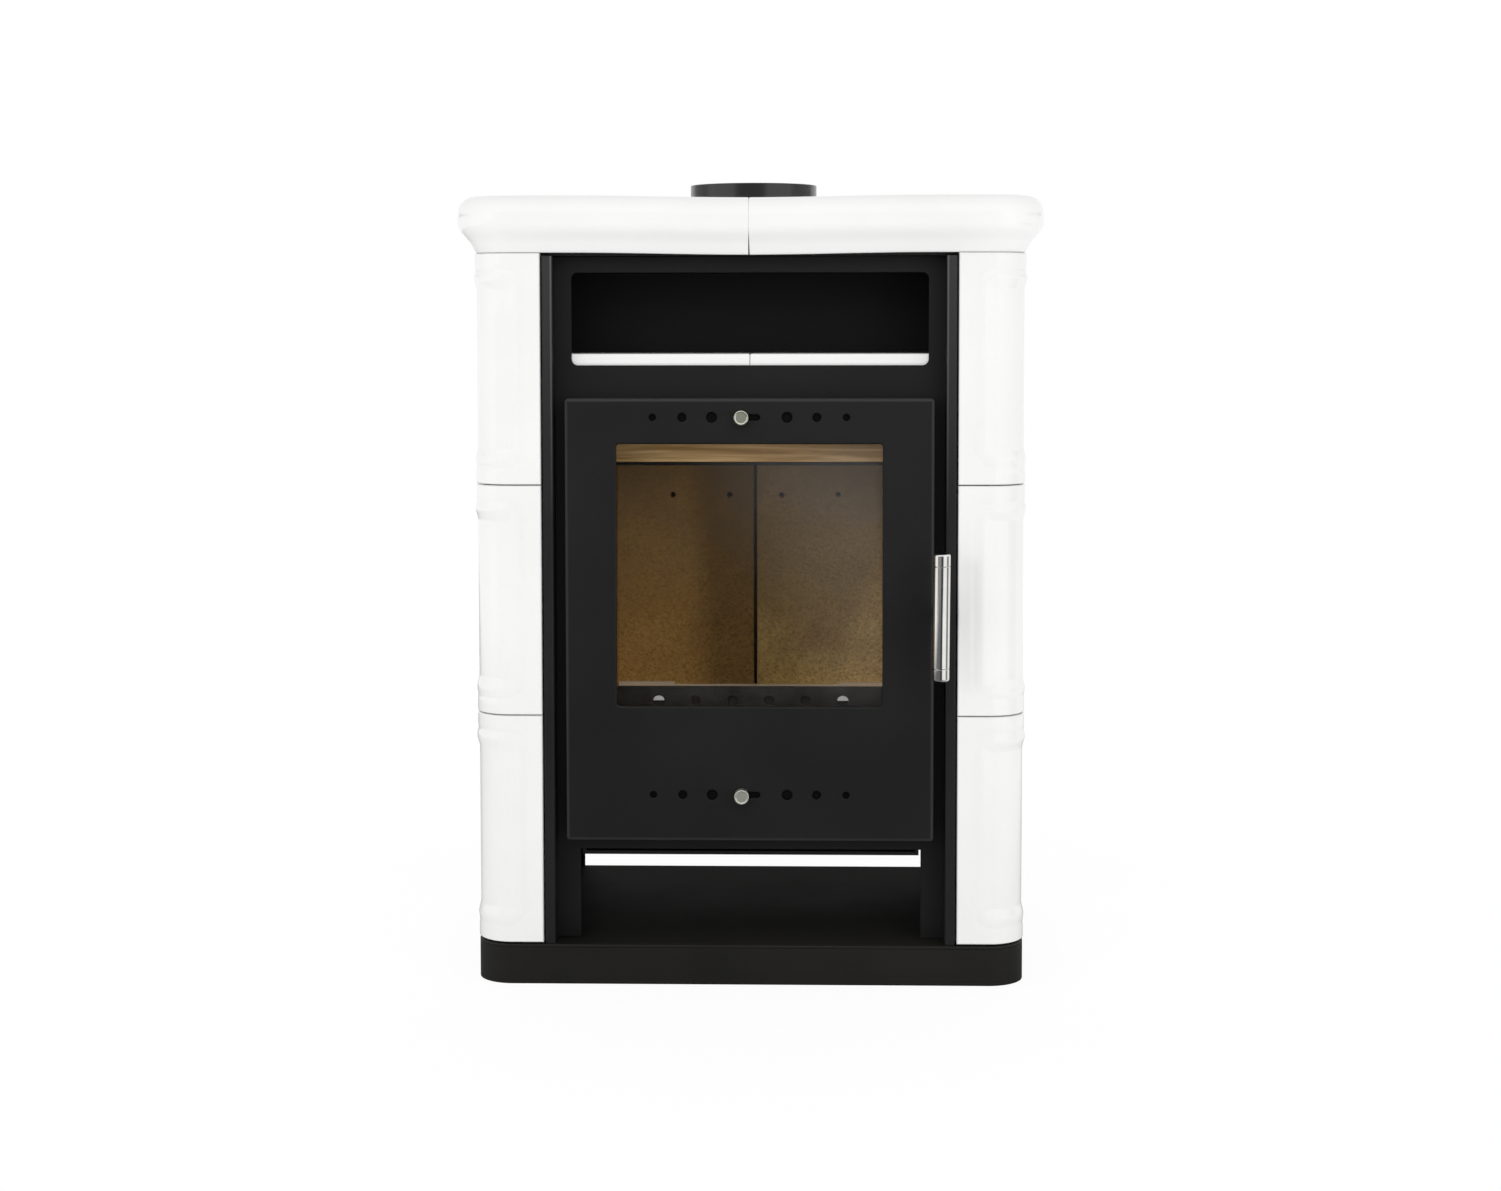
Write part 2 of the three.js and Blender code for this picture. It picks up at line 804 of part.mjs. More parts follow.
{
  const wall = shellInner - fitGap;
  const back = fireBack - fireWall - fitGap;
  const plate = box(-wall, wall, baffleFront, back, baffleUnder, baffleUnder + baffleThickness);
  addMesh(stove, "baffle_plate", plate, fireBoard);
}

{
  const guardFoot = hearthTop + fitGap;
  let guard = box(
    -guardHalfWidth,
    guardHalfWidth,
    guardDepth,
    guardDepth + guardThickness,
    guardFoot,
    hearthTop + guardRise,
  );
  for (let index = 0; index < guardHoles; index += 1) {
    const x = (index - (guardHoles - 1) / 2) * guardHolePitch;
    const hole = alongDepth(guardHoleRadius, 0, bodyDepth, x, hearthTop + guardHoleRise, 12);
    guard = cut(guard, hole);
  }
  addMesh(stove, "log_guard", guard, castIron);
}

{
  const front = panelBack + panFromFront;
  const back = front + panDepth;
  const bottom = panRail + fitGap;
  const outside = box(-panHalfWidth, panHalfWidth, front, back, bottom, bottom + panHeight);
  const inside = box(
    -panHalfWidth + panWall,
    panHalfWidth - panWall,
    front + panWall,
    back - panWall,
    bottom + panWall,
    bottom + panHeight + cutOver,
  );
  const pull = box(
    -panPullHalfWidth,
    panPullHalfWidth,
    front - panPullReach,
    front + panWall / 2,
    bottom + panPullHeight,
    bottom + panPullHeight + panWall,
  );
  addMesh(stove, "ash_pan", join(cut(outside, inside), pull), bareSteel);
}

// ---------------------------------------------------------------- hinges
for (const [place, height] of Object.entries(hingeHeights)) {
  const armBottom = height - bracketThickness / 2;
  const armTop = height + bracketThickness / 2;
  const left = hingeX - bracketLeft;
  const right = hingeX + bracketRight;
  const tabBack = recess - fitGap;
  const tabRight = right + bracketTabReach;
  const tabBottom = height - bracketTabHeight / 2;
  const eyeBottom = armTop + fitGap;
  const eyeTop = eyeBottom + eyeHeight;
  const arm = box(left, right, plateBack + bracketFromPlate, tabBack, armBottom, armTop);
  const tab = box(left, tabRight, tabBack - panelSheet, tabBack, tabBottom, tabBottom + bracketTabHeight);
  const boreRadius = hingePinRadius + fitGap;
  const pinHole = upright(boreRadius, armBottom - cutOver, armTop + cutOver, hingeX, hingeDepth, 16);
  addMesh(stove, `hinge_bracket_${place}`, cut(join(arm, tab), pinHole), blackSteel);

  const headTop = armBottom - fitGap;
  const headBottom = headTop - hingeHeadHeight;
  const pin = join(
    upright(hingePinRadius, headBottom, eyeTop - eyeAbovePin, hingeX, hingeDepth, 16),
    upright(hingeHeadRadius, headBottom, headTop, hingeX, hingeDepth, 16),
  );
  addMesh(stove, `hinge_pin_${place}`, pin, bareSteel);

  const eyeLeft = -doorHalfWidth + doorFlange + fitGap;
  const eye = box(eyeLeft, right, plateBack + fitGap, hingeDepth + eyeBehindPin, eyeBottom, eyeTop);
  const eyeHole = upright(boreRadius, height, eyeTop + cutOver, hingeX, hingeDepth, 16);
  addMesh(door, `hinge_eye_${place}`, cut(eye, eyeHole), bareSteel);
}

// ---------------------------------------------------------------- door
const seatBack = doorBack - seatFromBack;
const seatFront = seatBack - seatSheet;

{
  // The front plate and its flanges, with the bevel as a loft of three outlines.
  const outline = (inset) => [
    [-doorHalfWidth + inset, doorBottom + inset],
    [doorHalfWidth - inset, doorBottom + inset],
    [doorHalfWidth - inset, doorTop - inset],
    [-doorHalfWidth + inset, doorTop - inset],
  ];
  const rings = [
    [doorBevel, doorFront],
    [0, doorFront + doorBevel],
    [0, doorBack],
  ].map(([inset, y]) => outline(inset).map(([x, z]) => new THREE.Vector3(x, y, z)));
  const flat = outline(0).map(([x, z]) => new THREE.Vector2(x, z));
  let shell = loft(rings, [flat, flat]);
  shell = cut(
    shell,
    box(
      -doorHalfWidth + doorFlange,
      doorHalfWidth - doorFlange,
      plateBack,
      doorBack + cutOver,
      doorBottom + doorFlange,
      doorTop - doorFlange,
    ),
  );
  const pane = roundedRect(-windowHalfWidth, windowHalfWidth, windowBottom, windowTop, windowCorner);
  shell = cut(shell, uprightPlate(pane, doorFront - cutOver, doorBack + cutOver));
  // The inner frame that carries the rope seal runs into three of the flanges.
  const into = doorFlange / 2;
  const frameLeft = -mouthHalfWidth - seatFromMouth;
  const frameRight = doorHalfWidth - into;
  const frame = new THREE.Shape([
    new THREE.Vector2(frameLeft, doorBottom + into),
    new THREE.Vector2(frameRight, doorBottom + into),
    new THREE.Vector2(frameRight, doorTop - into),
    new THREE.Vector2(frameLeft, doorTop - into),
  ]);
  frame.holes.push(roundedRect(-mouthHalfWidth, mouthHalfWidth, mouthSill, mouthTop, mouthCorner));
  shell = join(shell, uprightPlate(frame, seatFront, seatBack, 3));
  const holeFront = doorFront - cutOver;
  const holeBack = plateBack + fitGap;
  for (const height of Object.values(slideHeights)) {
    const slot = roundedRect(
      -slotHalfLength,
      slotHalfLength,
      height - slotHalfHeight,
      height + slotHalfHeight,
      slotEndRadius,
    );
    shell = cut(shell, uprightPlate(slot, holeFront, holeBack));
    holePositions.forEach((x, i) => {
      for (const [, sign] of sides) {
        shell = cut(shell, alongDepth(holeRadii[i], holeFront, holeBack, sign * x, height, 14));
      }
    });
  }
  for (const height of Object.values(hingeHeights)) {
    const notch = box(
      -doorHalfWidth - cutOver,
      -doorHalfWidth + doorFlange + fitGap,
      plateBack,
      doorBack + cutOver,
      height - hingeNotchHeight / 2,
      height + hingeNotchHeight / 2,
    );
    shell = cut(shell, notch);
  }
  const pinBore = latchPinRadius + fitGap;
  const boreEnd = doorHalfWidth + cutOver;
  shell = cut(shell, alongX(pinBore, mouthHalfWidth, boreEnd, latchDepth, latchHeight, 16));
  addMesh(door, "door_shell", shell, blackSteel);
}

{
  const ring = (grow, corner) => {
    const half = mouthHalfWidth + grow;
    return roundedRect(-half, half, mouthSill - grow, mouthTop + grow, corner);
  };
  const rope = ring(gasketFromMouth + gasketWidth, gasketCorner);
  rope.holes.push(ring(gasketFromMouth, mouthCorner));
  addMesh(door, "door_gasket", uprightPlate(rope, seatBack + fitGap, recess - fitGap, 3), ropeGrey);
}

{
  const paneHalf = windowHalfWidth + glassOverlap;
  const paneBottom = windowBottom - glassOverlap;
  const paneTop = windowTop + glassOverlap;
  const gasketY = plateBack + fitGap;
  const glassY = gasketY + glassGasketThickness + fitGap;
  const glassBack = glassY + glassThickness;
  const seal = roundedRect(-paneHalf, paneHalf, paneBottom, paneTop, windowCorner - glassGasketEdge);
  const sealHalf = windowHalfWidth + glassGasketEdge;
  const sealBottom = windowBottom - glassGasketEdge;
  const sealTop = windowTop + glassGasketEdge;
  seal.holes.push(roundedRect(-sealHalf, sealHalf, sealBottom, sealTop, windowCorner));
  const sealRing = uprightPlate(seal, gasketY, gasketY + glassGasketThickness, 2);
  addMesh(door, "glass_gasket", sealRing, ropeGrey);
  const pane = box(-paneHalf, paneHalf, glassY, glassBack, paneBottom, paneTop);
  addMesh(door, "glass_pane", pane, ceramicGlass);
  const clampFront = glassBack + fitGap;
  const clampBack = clampFront + sheet;
  const clampOuter = paneHalf + clampWidth;
  const clampBottom = paneBottom + clampEndGap;
  const clampTop = paneTop - clampEndGap;
  const clamp = join(
    box(sealHalf, clampOuter, clampFront, clampBack, clampBottom, clampTop),
    box(paneHalf + fitGap, clampOuter, gasketY, clampFront + sheet / 2, clampBottom, clampTop),
  );
  for (const [side, sign] of sides) {
    addMesh(door, `glass_retainer_${side}`, mirrored(clamp, sign), bareSteel);
  }
}

// ---------------------------------------------------------------- air slides
for (const [place, height] of Object.entries(slideHeights)) {
  const group = place === "upper" ? upperSlide : lowerSlide;
  const front = plateBack + fitGap;
  const back = front + slideThickness;
  const slideBottom = height - slideHalfHeight;
  const slideTop = height + slideHalfHeight;
  let slide = box(-slideHalfLength, slideHalfLength, front, back, slideBottom, slideTop);
  holePositions.forEach((x, i) => {
    for (const [, sign] of sides) {
      slide = cut(slide, alongDepth(holeRadii[i], 0, doorBack, sign * x - slideTravel, height, 14));
    }
  });
  addMesh(group, `${place}_air_slide`, slide, bareSteel);

  const knobX = -slideTravel / 2;
  const knobBack = doorFront - knobStandOff;
  const knobFront = knobBack - knobLength;
  const knob = join(
    alongDepth(knobRadius, knobFront, knobBack, knobX, height, 24),
    alongDepth(stemRadius, (knobFront + knobBack) / 2, front - fitGap, knobX, height, 12),
  );
  addMesh(group, `${place}_air_knob`, knob, polishedSteel);

  const guideHalf = slideHalfLength + guideEnd;
  const guideBottom = slideBottom - guideBorder;
  const guideTop = slideTop + guideBorder;
  const guideFront = back + fitGap;
  const guideBack = guideFront + guideSheet;
  const windowHalf = guideHalf - guideFrame;
  const lipBack = guideFront + guideSheet / 2;
  const guide = join(
    cut(
      box(-guideHalf, guideHalf, guideFront, guideBack, guideBottom, guideTop),
      box(-windowHalf, windowHalf, 0, doorBack, slideBottom + guideHold, slideTop - guideHold),
    ),
    box(-guideHalf, guideHalf, front, lipBack, slideTop + fitGap, guideTop),
    box(-guideHalf, guideHalf, front, lipBack, guideBottom, slideBottom - fitGap),
  );
  addMesh(door, `${place}_slide_guide`, guide, bareSteel);
}

// ---------------------------------------------------------------- latch and handle
{
  const leverInner = handleX - leverThickness / 2;
  const leverOuter = handleX + leverThickness / 2;
  const boreRadius = latchPinRadius + fitGap;
  const blockInner = mouthHalfWidth + latchBlockFromMouth;
  const blockOuter = doorHalfWidth - doorFlange - fitGap;
  const blockBottom = latchHeight - latchBlockHeight / 2;
  const blockTop = latchHeight + latchBlockHeight / 2;
  const block = cut(
    box(blockInner, blockOuter, plateBack + fitGap, seatFront - fitGap, blockBottom, blockTop),
    alongX(boreRadius, mouthHalfWidth, doorHalfWidth, latchDepth, latchHeight, 16),
  );
  addMesh(door, "latch_block", block, bareSteel);
  const headInner = leverOuter + fitGap;
  const headOuter = headInner + latchPinHead;
  const pinInner = mouthHalfWidth + latchPinFromMouth;
  const pin = join(
    alongX(latchPinRadius, pinInner, headOuter, latchDepth, latchHeight, 16),
    alongX(latchPinHeadRadius, headInner, headOuter, latchDepth, latchHeight, 16),
  );
  addMesh(door, "latch_pin", pin, bareSteel);

  const pocketFront = keeperFront + keeperLip;
  const hookFront = pocketFront + 1;
  const hookBack = hookFront + hookThickness;
  const hookTop = latchHeight - hookTipDrop;
  const armTop = latchHeight - hookArmDrop;
  const armBottom = latchHeight - hookArmBottom;
  const armFront = -handleStandOff + handleRadius + fitGap;
  const leverBottom = latchHeight - leverHalfHeight;
  const leverTop = latchHeight + leverHalfHeight;
  const lever = cut(
    join(
      alongX(latchBossRadius, leverInner, leverOuter, latchDepth, latchHeight, 20),
      box(leverInner, leverOuter, armFront, latchDepth, leverBottom, leverTop),
      box(leverInner, leverOuter, latchDepth, hookBack, armBottom, armTop),
      box(leverInner, leverOuter, hookFront, hookBack, armTop - hookThickness / 2, hookTop),
    ),
    alongX(boreRadius, leverInner - cutOver, leverOuter + cutOver, latchDepth, latchHeight, 16),
  );
  addMesh(latch, "latch_lever", lever, bareSteel);

  const handleBottom = latchHeight - handleLength / 2;
  const handleTop = latchHeight + handleLength / 2;
  const lowerCapTop = handleBottom + handleCapLength;
  const upperCapBottom = handleTop - handleCapLength;
  const y = -handleStandOff;
  const lowerCap = upright(handleRadius, handleBottom, lowerCapTop, handleX, y, 24);
  addMesh(latch, "handle_cap_bottom", lowerCap, polishedSteel);
  const upperCap = upright(handleRadius, upperCapBottom, handleTop, handleX, y, 24);
  addMesh(latch, "handle_cap_top", upperCap, polishedSteel);
  const tube = upright(handleRadius, lowerCapTop + fitGap, upperCapBottom - fitGap, handleX, y, 24);
  addMesh(latch, "handle_tube", tube, polishedSteel);

  const pocketBack = pocketFront + keeperPocket;
  const pocketTop = latchHeight + keeperPocketHeight;
  const keeper = cut(
    box(leverInner, leverOuter, keeperFront, recess - fitGap, latchHeight, latchHeight + keeperHeight),
    box(leverInner - cutOver, leverOuter + cutOver, pocketFront, pocketBack, latchHeight - 1, pocketTop),
  );
  addMesh(stove, "latch_keeper", keeper, bareSteel);
}

export default stove;
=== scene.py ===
import math

import bpy
import numpy as np
from mathutils.geometry import tessellate_polygon
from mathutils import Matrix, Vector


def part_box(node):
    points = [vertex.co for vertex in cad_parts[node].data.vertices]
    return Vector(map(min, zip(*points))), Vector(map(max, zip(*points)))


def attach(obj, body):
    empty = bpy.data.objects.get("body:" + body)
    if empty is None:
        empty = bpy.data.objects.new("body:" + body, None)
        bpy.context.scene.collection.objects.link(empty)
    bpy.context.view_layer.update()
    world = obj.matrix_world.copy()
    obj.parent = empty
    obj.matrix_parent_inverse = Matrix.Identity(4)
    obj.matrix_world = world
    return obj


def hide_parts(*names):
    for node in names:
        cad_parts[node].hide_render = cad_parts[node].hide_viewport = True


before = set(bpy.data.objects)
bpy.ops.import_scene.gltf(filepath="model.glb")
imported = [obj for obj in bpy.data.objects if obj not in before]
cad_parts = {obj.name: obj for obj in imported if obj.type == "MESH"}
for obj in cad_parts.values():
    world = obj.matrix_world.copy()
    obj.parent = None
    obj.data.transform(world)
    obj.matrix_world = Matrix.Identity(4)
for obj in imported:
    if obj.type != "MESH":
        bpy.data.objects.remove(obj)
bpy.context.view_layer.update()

# ---- Plinth
# A folded tray of 3 mm sheet steel, open underneath, with rounded front corners. Its top is the
# floor of the log niche. It carries every other sheet and stands on its own edge and four feet.


def corners(node):
    """Lowest and highest corner of a piece of the frame, in metres."""
    low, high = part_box(node)
    return np.array(low), np.array(high)


def put(name, points, faces, body, material, nodes, crease=32):
    """Makes one piece from points and faces: turned so that its volume is positive, smooth up to
    the crease angle in degrees, and weighted so that broad faces stay flat beside small rounds."""
    points = np.asarray(points, float)
    fans = [(f[0], f[i], f[i + 1]) for f in faces for i in range(1, len(f) - 1)]
    a, b, c = (points[np.array(fans)[:, i]] for i in range(3))
    if np.einsum("ij,ij->i", a, np.cross(b, c)).sum() < 0:
        faces = [f[::-1] for f in faces]
    mesh = bpy.data.meshes.new(name)
    mesh.from_pydata(points.tolist(), [], faces)
    mesh.polygons.foreach_set("use_smooth", np.ones(len(mesh.polygons), bool))
    mesh.set_sharp_from_angle(angle=math.radians(crease))
    mesh.materials.append(material)
    piece = bpy.data.objects.new(name, mesh)
    bpy.context.scene.collection.objects.link(piece)
    flats = piece.modifiers.new("flats", "WEIGHTED_NORMAL")
    flats.keep_sharp = True
    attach(piece, body)
    if nodes:
        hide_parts(*nodes)


def quads_between(rings, around, endless):
    """Faces of a grid of points numbered ring by ring: each ring joined to the next, the last to
    the first where the row of rings is endless."""
    index = np.arange(rings * around).reshape(rings, around)
    index = np.vstack([index, index[:1]]) if endless else index
    index = np.hstack([index, index[:, :1]])
    here, there = index[:-1], index[1:]
    grid = [here[:, :-1], here[:, 1:], there[:, 1:], there[:, :-1]]
    return np.stack(grid, -1).reshape(-1, 4).tolist()


def skin(name, rings, body, material, nodes=(), endless=False, crease=32):
    """Joins closed rings of points, an array (rings, points, 3), into one skin. The first and the
    last ring are closed by a flat face each, unless the rings run back into the first."""
    count, around = rings.shape[:2]
    faces = quads_between(count, around, endless)
    if not endless:
        index = list(range(count * around))
        faces += [index[:around][::-1], index[-around:]]
    put(name, rings.reshape(-1, 3), faces, body, material, nodes, crease)


def grown(outline, amount):
    """A closed outline moved outwards by an amount: each corner goes along the sum of its two
    edges' normals, divided by one plus their dot product."""
    edge = np.roll(outline, -1, 0) - outline
    edge /= np.linalg.norm(edge, axis=1, keepdims=True)
    normal = np.stack([edge[:, 1], -edge[:, 0]], 1)
    before = np.roll(normal, 1, 0)
    share = 1 + (normal * before).sum(1, keepdims=True)
    return outline + amount * (normal + before) / share


def rounded(x0, x1, y0, y1, radii, steps=8):
    """A rectangle, anticlockwise from its lower right corner, with a quarter circle at each
    corner. The radii are those of the lower right, upper right, upper left and lower left."""
    radii = np.broadcast_to(radii, 4)
    middle = np.array([[x1, y0], [x1, y1], [x0, y1], [x0, y0]])
    inward = np.array([[-1, 1], [-1, -1], [1, -1], [1, 1]])
    turn = np.linspace(-math.pi / 2, 0, steps)[None] + np.arange(4)[:, None] * math.pi / 2
    arc = np.stack([np.cos(turn), np.sin(turn)], -1) * radii[:, None, None]
    return (middle[:, None] + inward[:, None] * radii[:, None, None] + arc).reshape(-1, 2)


def stacked(outline, profile):
    """Rings of an outline carried along a profile of (outward move, place): the outline grown by
    the move, in a plane at the place."""
    return np.array([np.column_stack([grown(outline, move), np.full(len(outline), place)])
                     for move, place in profile])


def rolled(side, face, way, radius, steps):
    """A rounded edge as a profile of (outward move, place): a quarter circle from a face to the
    side of a piece. The way is 1 where the side rises from the face, and -1 where it falls."""
    turn = np.linspace(0, math.pi / 2, steps)
    moves, places = side - radius * (1 - np.sin(turn)), face + way * radius * (1 - np.cos(turn))
    return list(zip(moves, places))


def node(tree, kind, settings=None, **values):
    """Adds a shader node, sets its properties, and links or sets its inputs. An input is named
    with underscores for spaces, or in_0, in_1 by its place."""
    made = tree.nodes.new("ShaderNode" + kind)
    for key, value in (settings or {}).items():
        setattr(made, key, value)
    for key, value in values.items():
        place = int(key[3:]) if key.startswith("in_") else key.replace("_", " ")
        if isinstance(value, bpy.types.NodeSocket):
            tree.links.new(value, made.inputs[place])
        else:
            made.inputs[place].default_value = value
    return made


def reckon(tree, operation, *terms):
    """The result of a Math node."""
    terms = {f"in_{i}": term for i, term in enumerate(terms)}
    return node(tree, "Math", {"operation": operation}, **terms).outputs[0]


def noise(tree, place, scale, detail, **more):
    """A noise pattern, mostly between 0.3 and 0.7."""
    return node(tree, "TexNoise", Vector=place, Scale=scale, Detail=detail, **more).outputs["Fac"]


def bare_finish(name, **values):
    """A new material: its node tree, its surface shader and the object's own coordinates."""
    material = bpy.data.materials.new(name)
    material.use_nodes = True
    tree = material.node_tree
    surface = tree.nodes["Principled BSDF"]
    for key, value in values.items():
        surface.inputs[key.replace("_", " ")].default_value = value
    return material, tree, surface, tree.nodes.new("ShaderNodeTexCoord").outputs["Object"]


def link(tree, surface, **patterns):
    """Links patterns to a surface shader's inputs, named with underscores for spaces."""
    for key, pattern in patterns.items():
        tree.links.new(pattern, surface.inputs[key.replace("_", " ")])


def tint(tree, factor, *stops):
    """A colour ramp with stops of (place, (red, green, blue))."""
    made = node(tree, "ValToRGB", Fac=factor)
    ramp = made.color_ramp
    for place, _ in stops[2:]:
        ramp.elements.new(place)
    for element, (place, colour) in zip(ramp.elements, stops):
        element.position = place
        element.color = (*colour, 1)
    return made.outputs["Color"]


def spread(tree, factor, low, high, start=0.3, end=0.7, way="LINEAR"):
    """Goes from a low to a high result while a factor goes from a start to an end. The usual start
    and end are those of a noise pattern."""
    values = dict(From_Min=start, From_Max=end, To_Min=low, To_Max=high)
    return node(tree, "MapRange", {"interpolation_type": way}, Value=factor, **values).outputs["Result"]


def relief(tree, surface, *layers):
    """Bumps laid one over the other: (pattern, height in metres, strength)."""
    normal = None
    for pattern, height, strength in layers:
        made = node(tree, "Bump", Height=pattern, Distance=height, Strength=strength)
        if normal:
            tree.links.new(normal, made.inputs["Normal"])
        normal = made.outputs["Normal"]
    tree.links.new(normal, surface.inputs["Normal"])


def heat_paint(name, dark, light, dull, shine, gloss=0.4):
    """Matt heat-proof paint: cloudy tone from broad noise, a fine sprayed grain as bump, and a
    roughness that goes from shine to dull with the cloud."""
    material, tree, surface, place = bare_finish(name, Specular_IOR_Level=gloss)
    cloud = noise(tree, place, 7.0, 5.0)
    grain = noise(tree, place, 900.0, 3.0)
    peel = noise(tree, place, 160.0, 2.0)
    tone = tint(tree, cloud, (0.3, dark), (0.7, light))
    link(tree, surface, Base_Color=tone, Roughness=spread(tree, cloud, shine, dull))
    relief(tree, surface, (peel, 0.0003, 0.12), (grain, 0.00015, 0.35))
    return material


black_paint = heat_paint("black_paint", (0.0040, 0.0040, 0.0040), (0.0066, 0.0066, 0.0065), 0.6, 0.5)
plinth_paint = heat_paint("plinth_paint", (0.0085, 0.008, 0.0068), (0.0125, 0.0118, 0.0102), 0.6, 0.48, 0.3)

low, high = corners("base_tray")
wall = 0.003
deck_fold = 0.0014
skirt_fold = 0.0009
foot_fold = 0.0006
seam = high[2] - 0.0036
seam_foot, seam_top = seam + 0.0001, seam + 0.0006
profile = [(-wall, high[2] - wall), (-wall, foot_fold)]
profile += rolled(foot_fold - wall, low[2], 1, foot_fold, 3)[::-1]
profile += rolled(0.0, low[2], 1, foot_fold, 3)
profile += rolled(0.0, seam, -1, skirt_fold, 4)[::-1]
profile += [(-skirt_fold, seam_foot), (0.0, seam_top)]
profile += rolled(0.0, high[2], -1, deck_fold, 5)[::-1]
front_radius = 0.0407
rear_radius = 0.004
radii = (front_radius, rear_radius, rear_radius, front_radius)
plan = rounded(low[0], high[0], low[1], high[1], radii, 14)
skin("plinth", stacked(plan, profile), "stove", plinth_paint, ["base_tray"])

# ---- Levelling feet
# Four zinc-plated feet under the plinth's corners: a turned pad on a threaded stem.


def turned(name, profile, centre, axis, body, material, nodes=(), endless=False, around=48,
           lean=(0, 0)):
    """A profile of (radius, place along the axis) turned round a centre line along x, y or z. A lean
    of (slope, place) shifts each ring sideways by the slope times its distance from the place."""
    radius, along = np.array(profile).T[..., None]
    turn = np.linspace(0, 2 * math.pi, around, endpoint=False)
    across = [i for i in range(3) if i != axis]
    rings = np.zeros((len(radius), around, 3))
    rings[..., axis] = along
    rings[..., across[0]] = centre[0] + radius * np.cos(turn) + lean[0] * (along - lean[1])
    rings[..., across[1]] = centre[1] + radius * np.sin(turn)
    skin(name, rings, body, material, nodes, endless)


def lined(tree, place, scales, detail, **more):
    """A noise pattern drawn out into lines by its three scales along x, y and z."""
    place = node(tree, "Mapping", Vector=place, Scale=scales).outputs["Vector"]
    return noise(tree, place, 1.0, detail, **more)


def zinc_plate():
    """Zinc-plated steel: pale grey with a soft cloudy tone and fine rolling lines."""
    material, tree, surface, place = bare_finish("zinc_plate", Metallic=1.0)
    lines = lined(tree, place, (900.0, 900.0, 25.0), 3.0)
    cloud = noise(tree, place, 60.0, 4.0)
    tone = tint(tree, cloud, (0.3, (0.36, 0.355, 0.34)), (0.7, (0.47, 0.46, 0.44)))
    link(tree, surface, Base_Color=tone, Roughness=spread(tree, cloud, 0.3, 0.45))
    relief(tree, surface, (lines, 0.00008, 0.4))
    return material


bare_steel = zinc_plate()
thread_pitch = 0.00125
thread_depth = 0.0007
thread_end = 0.001
pad_top = 0.008
stem = 0.006
chamfer = 0.0012
for end in ("front", "rear"):
    for side in ("left", "right"):
        name = f"leveling_foot_{end}_{side}"
        low, high = corners(name)
        middle = (low + high) / 2
        pad = (high[0] - low[0]) / 2
        turns = np.arange(pad_top + thread_end, high[2] - thread_end, thread_pitch / 2)
        threads = [(stem - thread_depth * (i % 2), z) for i, z in enumerate(turns)]
        profile = [(pad - chamfer, low[2]), (pad, chamfer)]
        profile += [(pad, pad_top - chamfer), (pad - chamfer, pad_top), (stem, pad_top + 0.0002)]
        profile += [*threads, (stem - chamfer, high[2])]
        turned(f"foot_{end}_{side}", profile, middle[:2], 2, "stove", bare_steel, [name],
               around=32)

# ---- Side casings
# One folded sheet a side: a narrow strip stands beside the recessed front, steps back behind the
# tiles and runs round the corner to a flange at the rear.


def folded(corner_points, radii, steps=6):
    """A line through corner points with each inner corner replaced by an arc of its radius, and
    the unit normals to the right of the line."""
    line = [np.array(corner_points[0], float)]
    triples = zip(corner_points, corner_points[1:], corner_points[2:])
    for triple, radius in zip(triples, radii):
        before, corner, after = (np.array(p, float) for p in triple)
        a = (before - corner) / np.linalg.norm(before - corner)
        b = (after - corner) / np.linalg.norm(after - corner)
        half = math.acos(np.clip(a @ b, -1, 1)) / 2
        middle = corner + (a + b) / np.linalg.norm(a + b) * radius / math.sin(half)
        start = corner + a * radius / math.tan(half) - middle
        end = corner + b * radius / math.tan(half) - middle
        share = np.linspace(0, 1, steps)[:, None]
        span = math.pi - 2 * half
        arc = (np.sin((1 - share) * span) * start + np.sin(share * span) * end) / math.sin(span)
        line += list(middle + arc)
    line.append(np.array(corner_points[-1], float))
    line = np.array(line)
    step = np.diff(line, axis=0)
    step /= np.linalg.norm(step, axis=1, keepdims=True)
    way = np.vstack([step[:1], step[:-1] + step[1:], step[-1:]])
    way /= np.linalg.norm(way, axis=1, keepdims=True)
    return line, np.column_stack([way[:, 1], -way[:, 0]])


def sheet_along(line, normals, thickness, z0, z1, fold=0.0004):
    """Rings of a sheet that stands on a line in plan: its section, from z0 to z1 and half its
    thickness to each side, with rounded edges, carried along the line."""
    section = rounded(-thickness / 2, thickness / 2, z0, z1, fold, 3)
    points = line[:, None] + section[None, :, :1] * normals[:, None]
    heights = np.broadcast_to(section[:, 1], (len(line), len(section)))
    return np.dstack([points, heights])


def mixed(tree, factor, first, second, how="MIX"):
    """Two colours mixed by a factor."""
    settings = {"data_type": "RGBA", "blend_type": how}
    return node(tree, "Mix", settings, in_0=factor, in_6=first, in_7=second).outputs[2]


def second_coat(material):
    """What it takes to work over a paint: its node tree, its surface shader, its colour so far, and
    a point's own place as x, y and z."""
    tree = material.node_tree
    surface = tree.nodes["Principled BSDF"]
    paint = surface.inputs["Base Color"].links[0].from_socket
    place = node(tree, "SeparateXYZ", Vector=tree.nodes["Texture Coordinate"].outputs["Object"])
    return tree, surface, paint, place.outputs


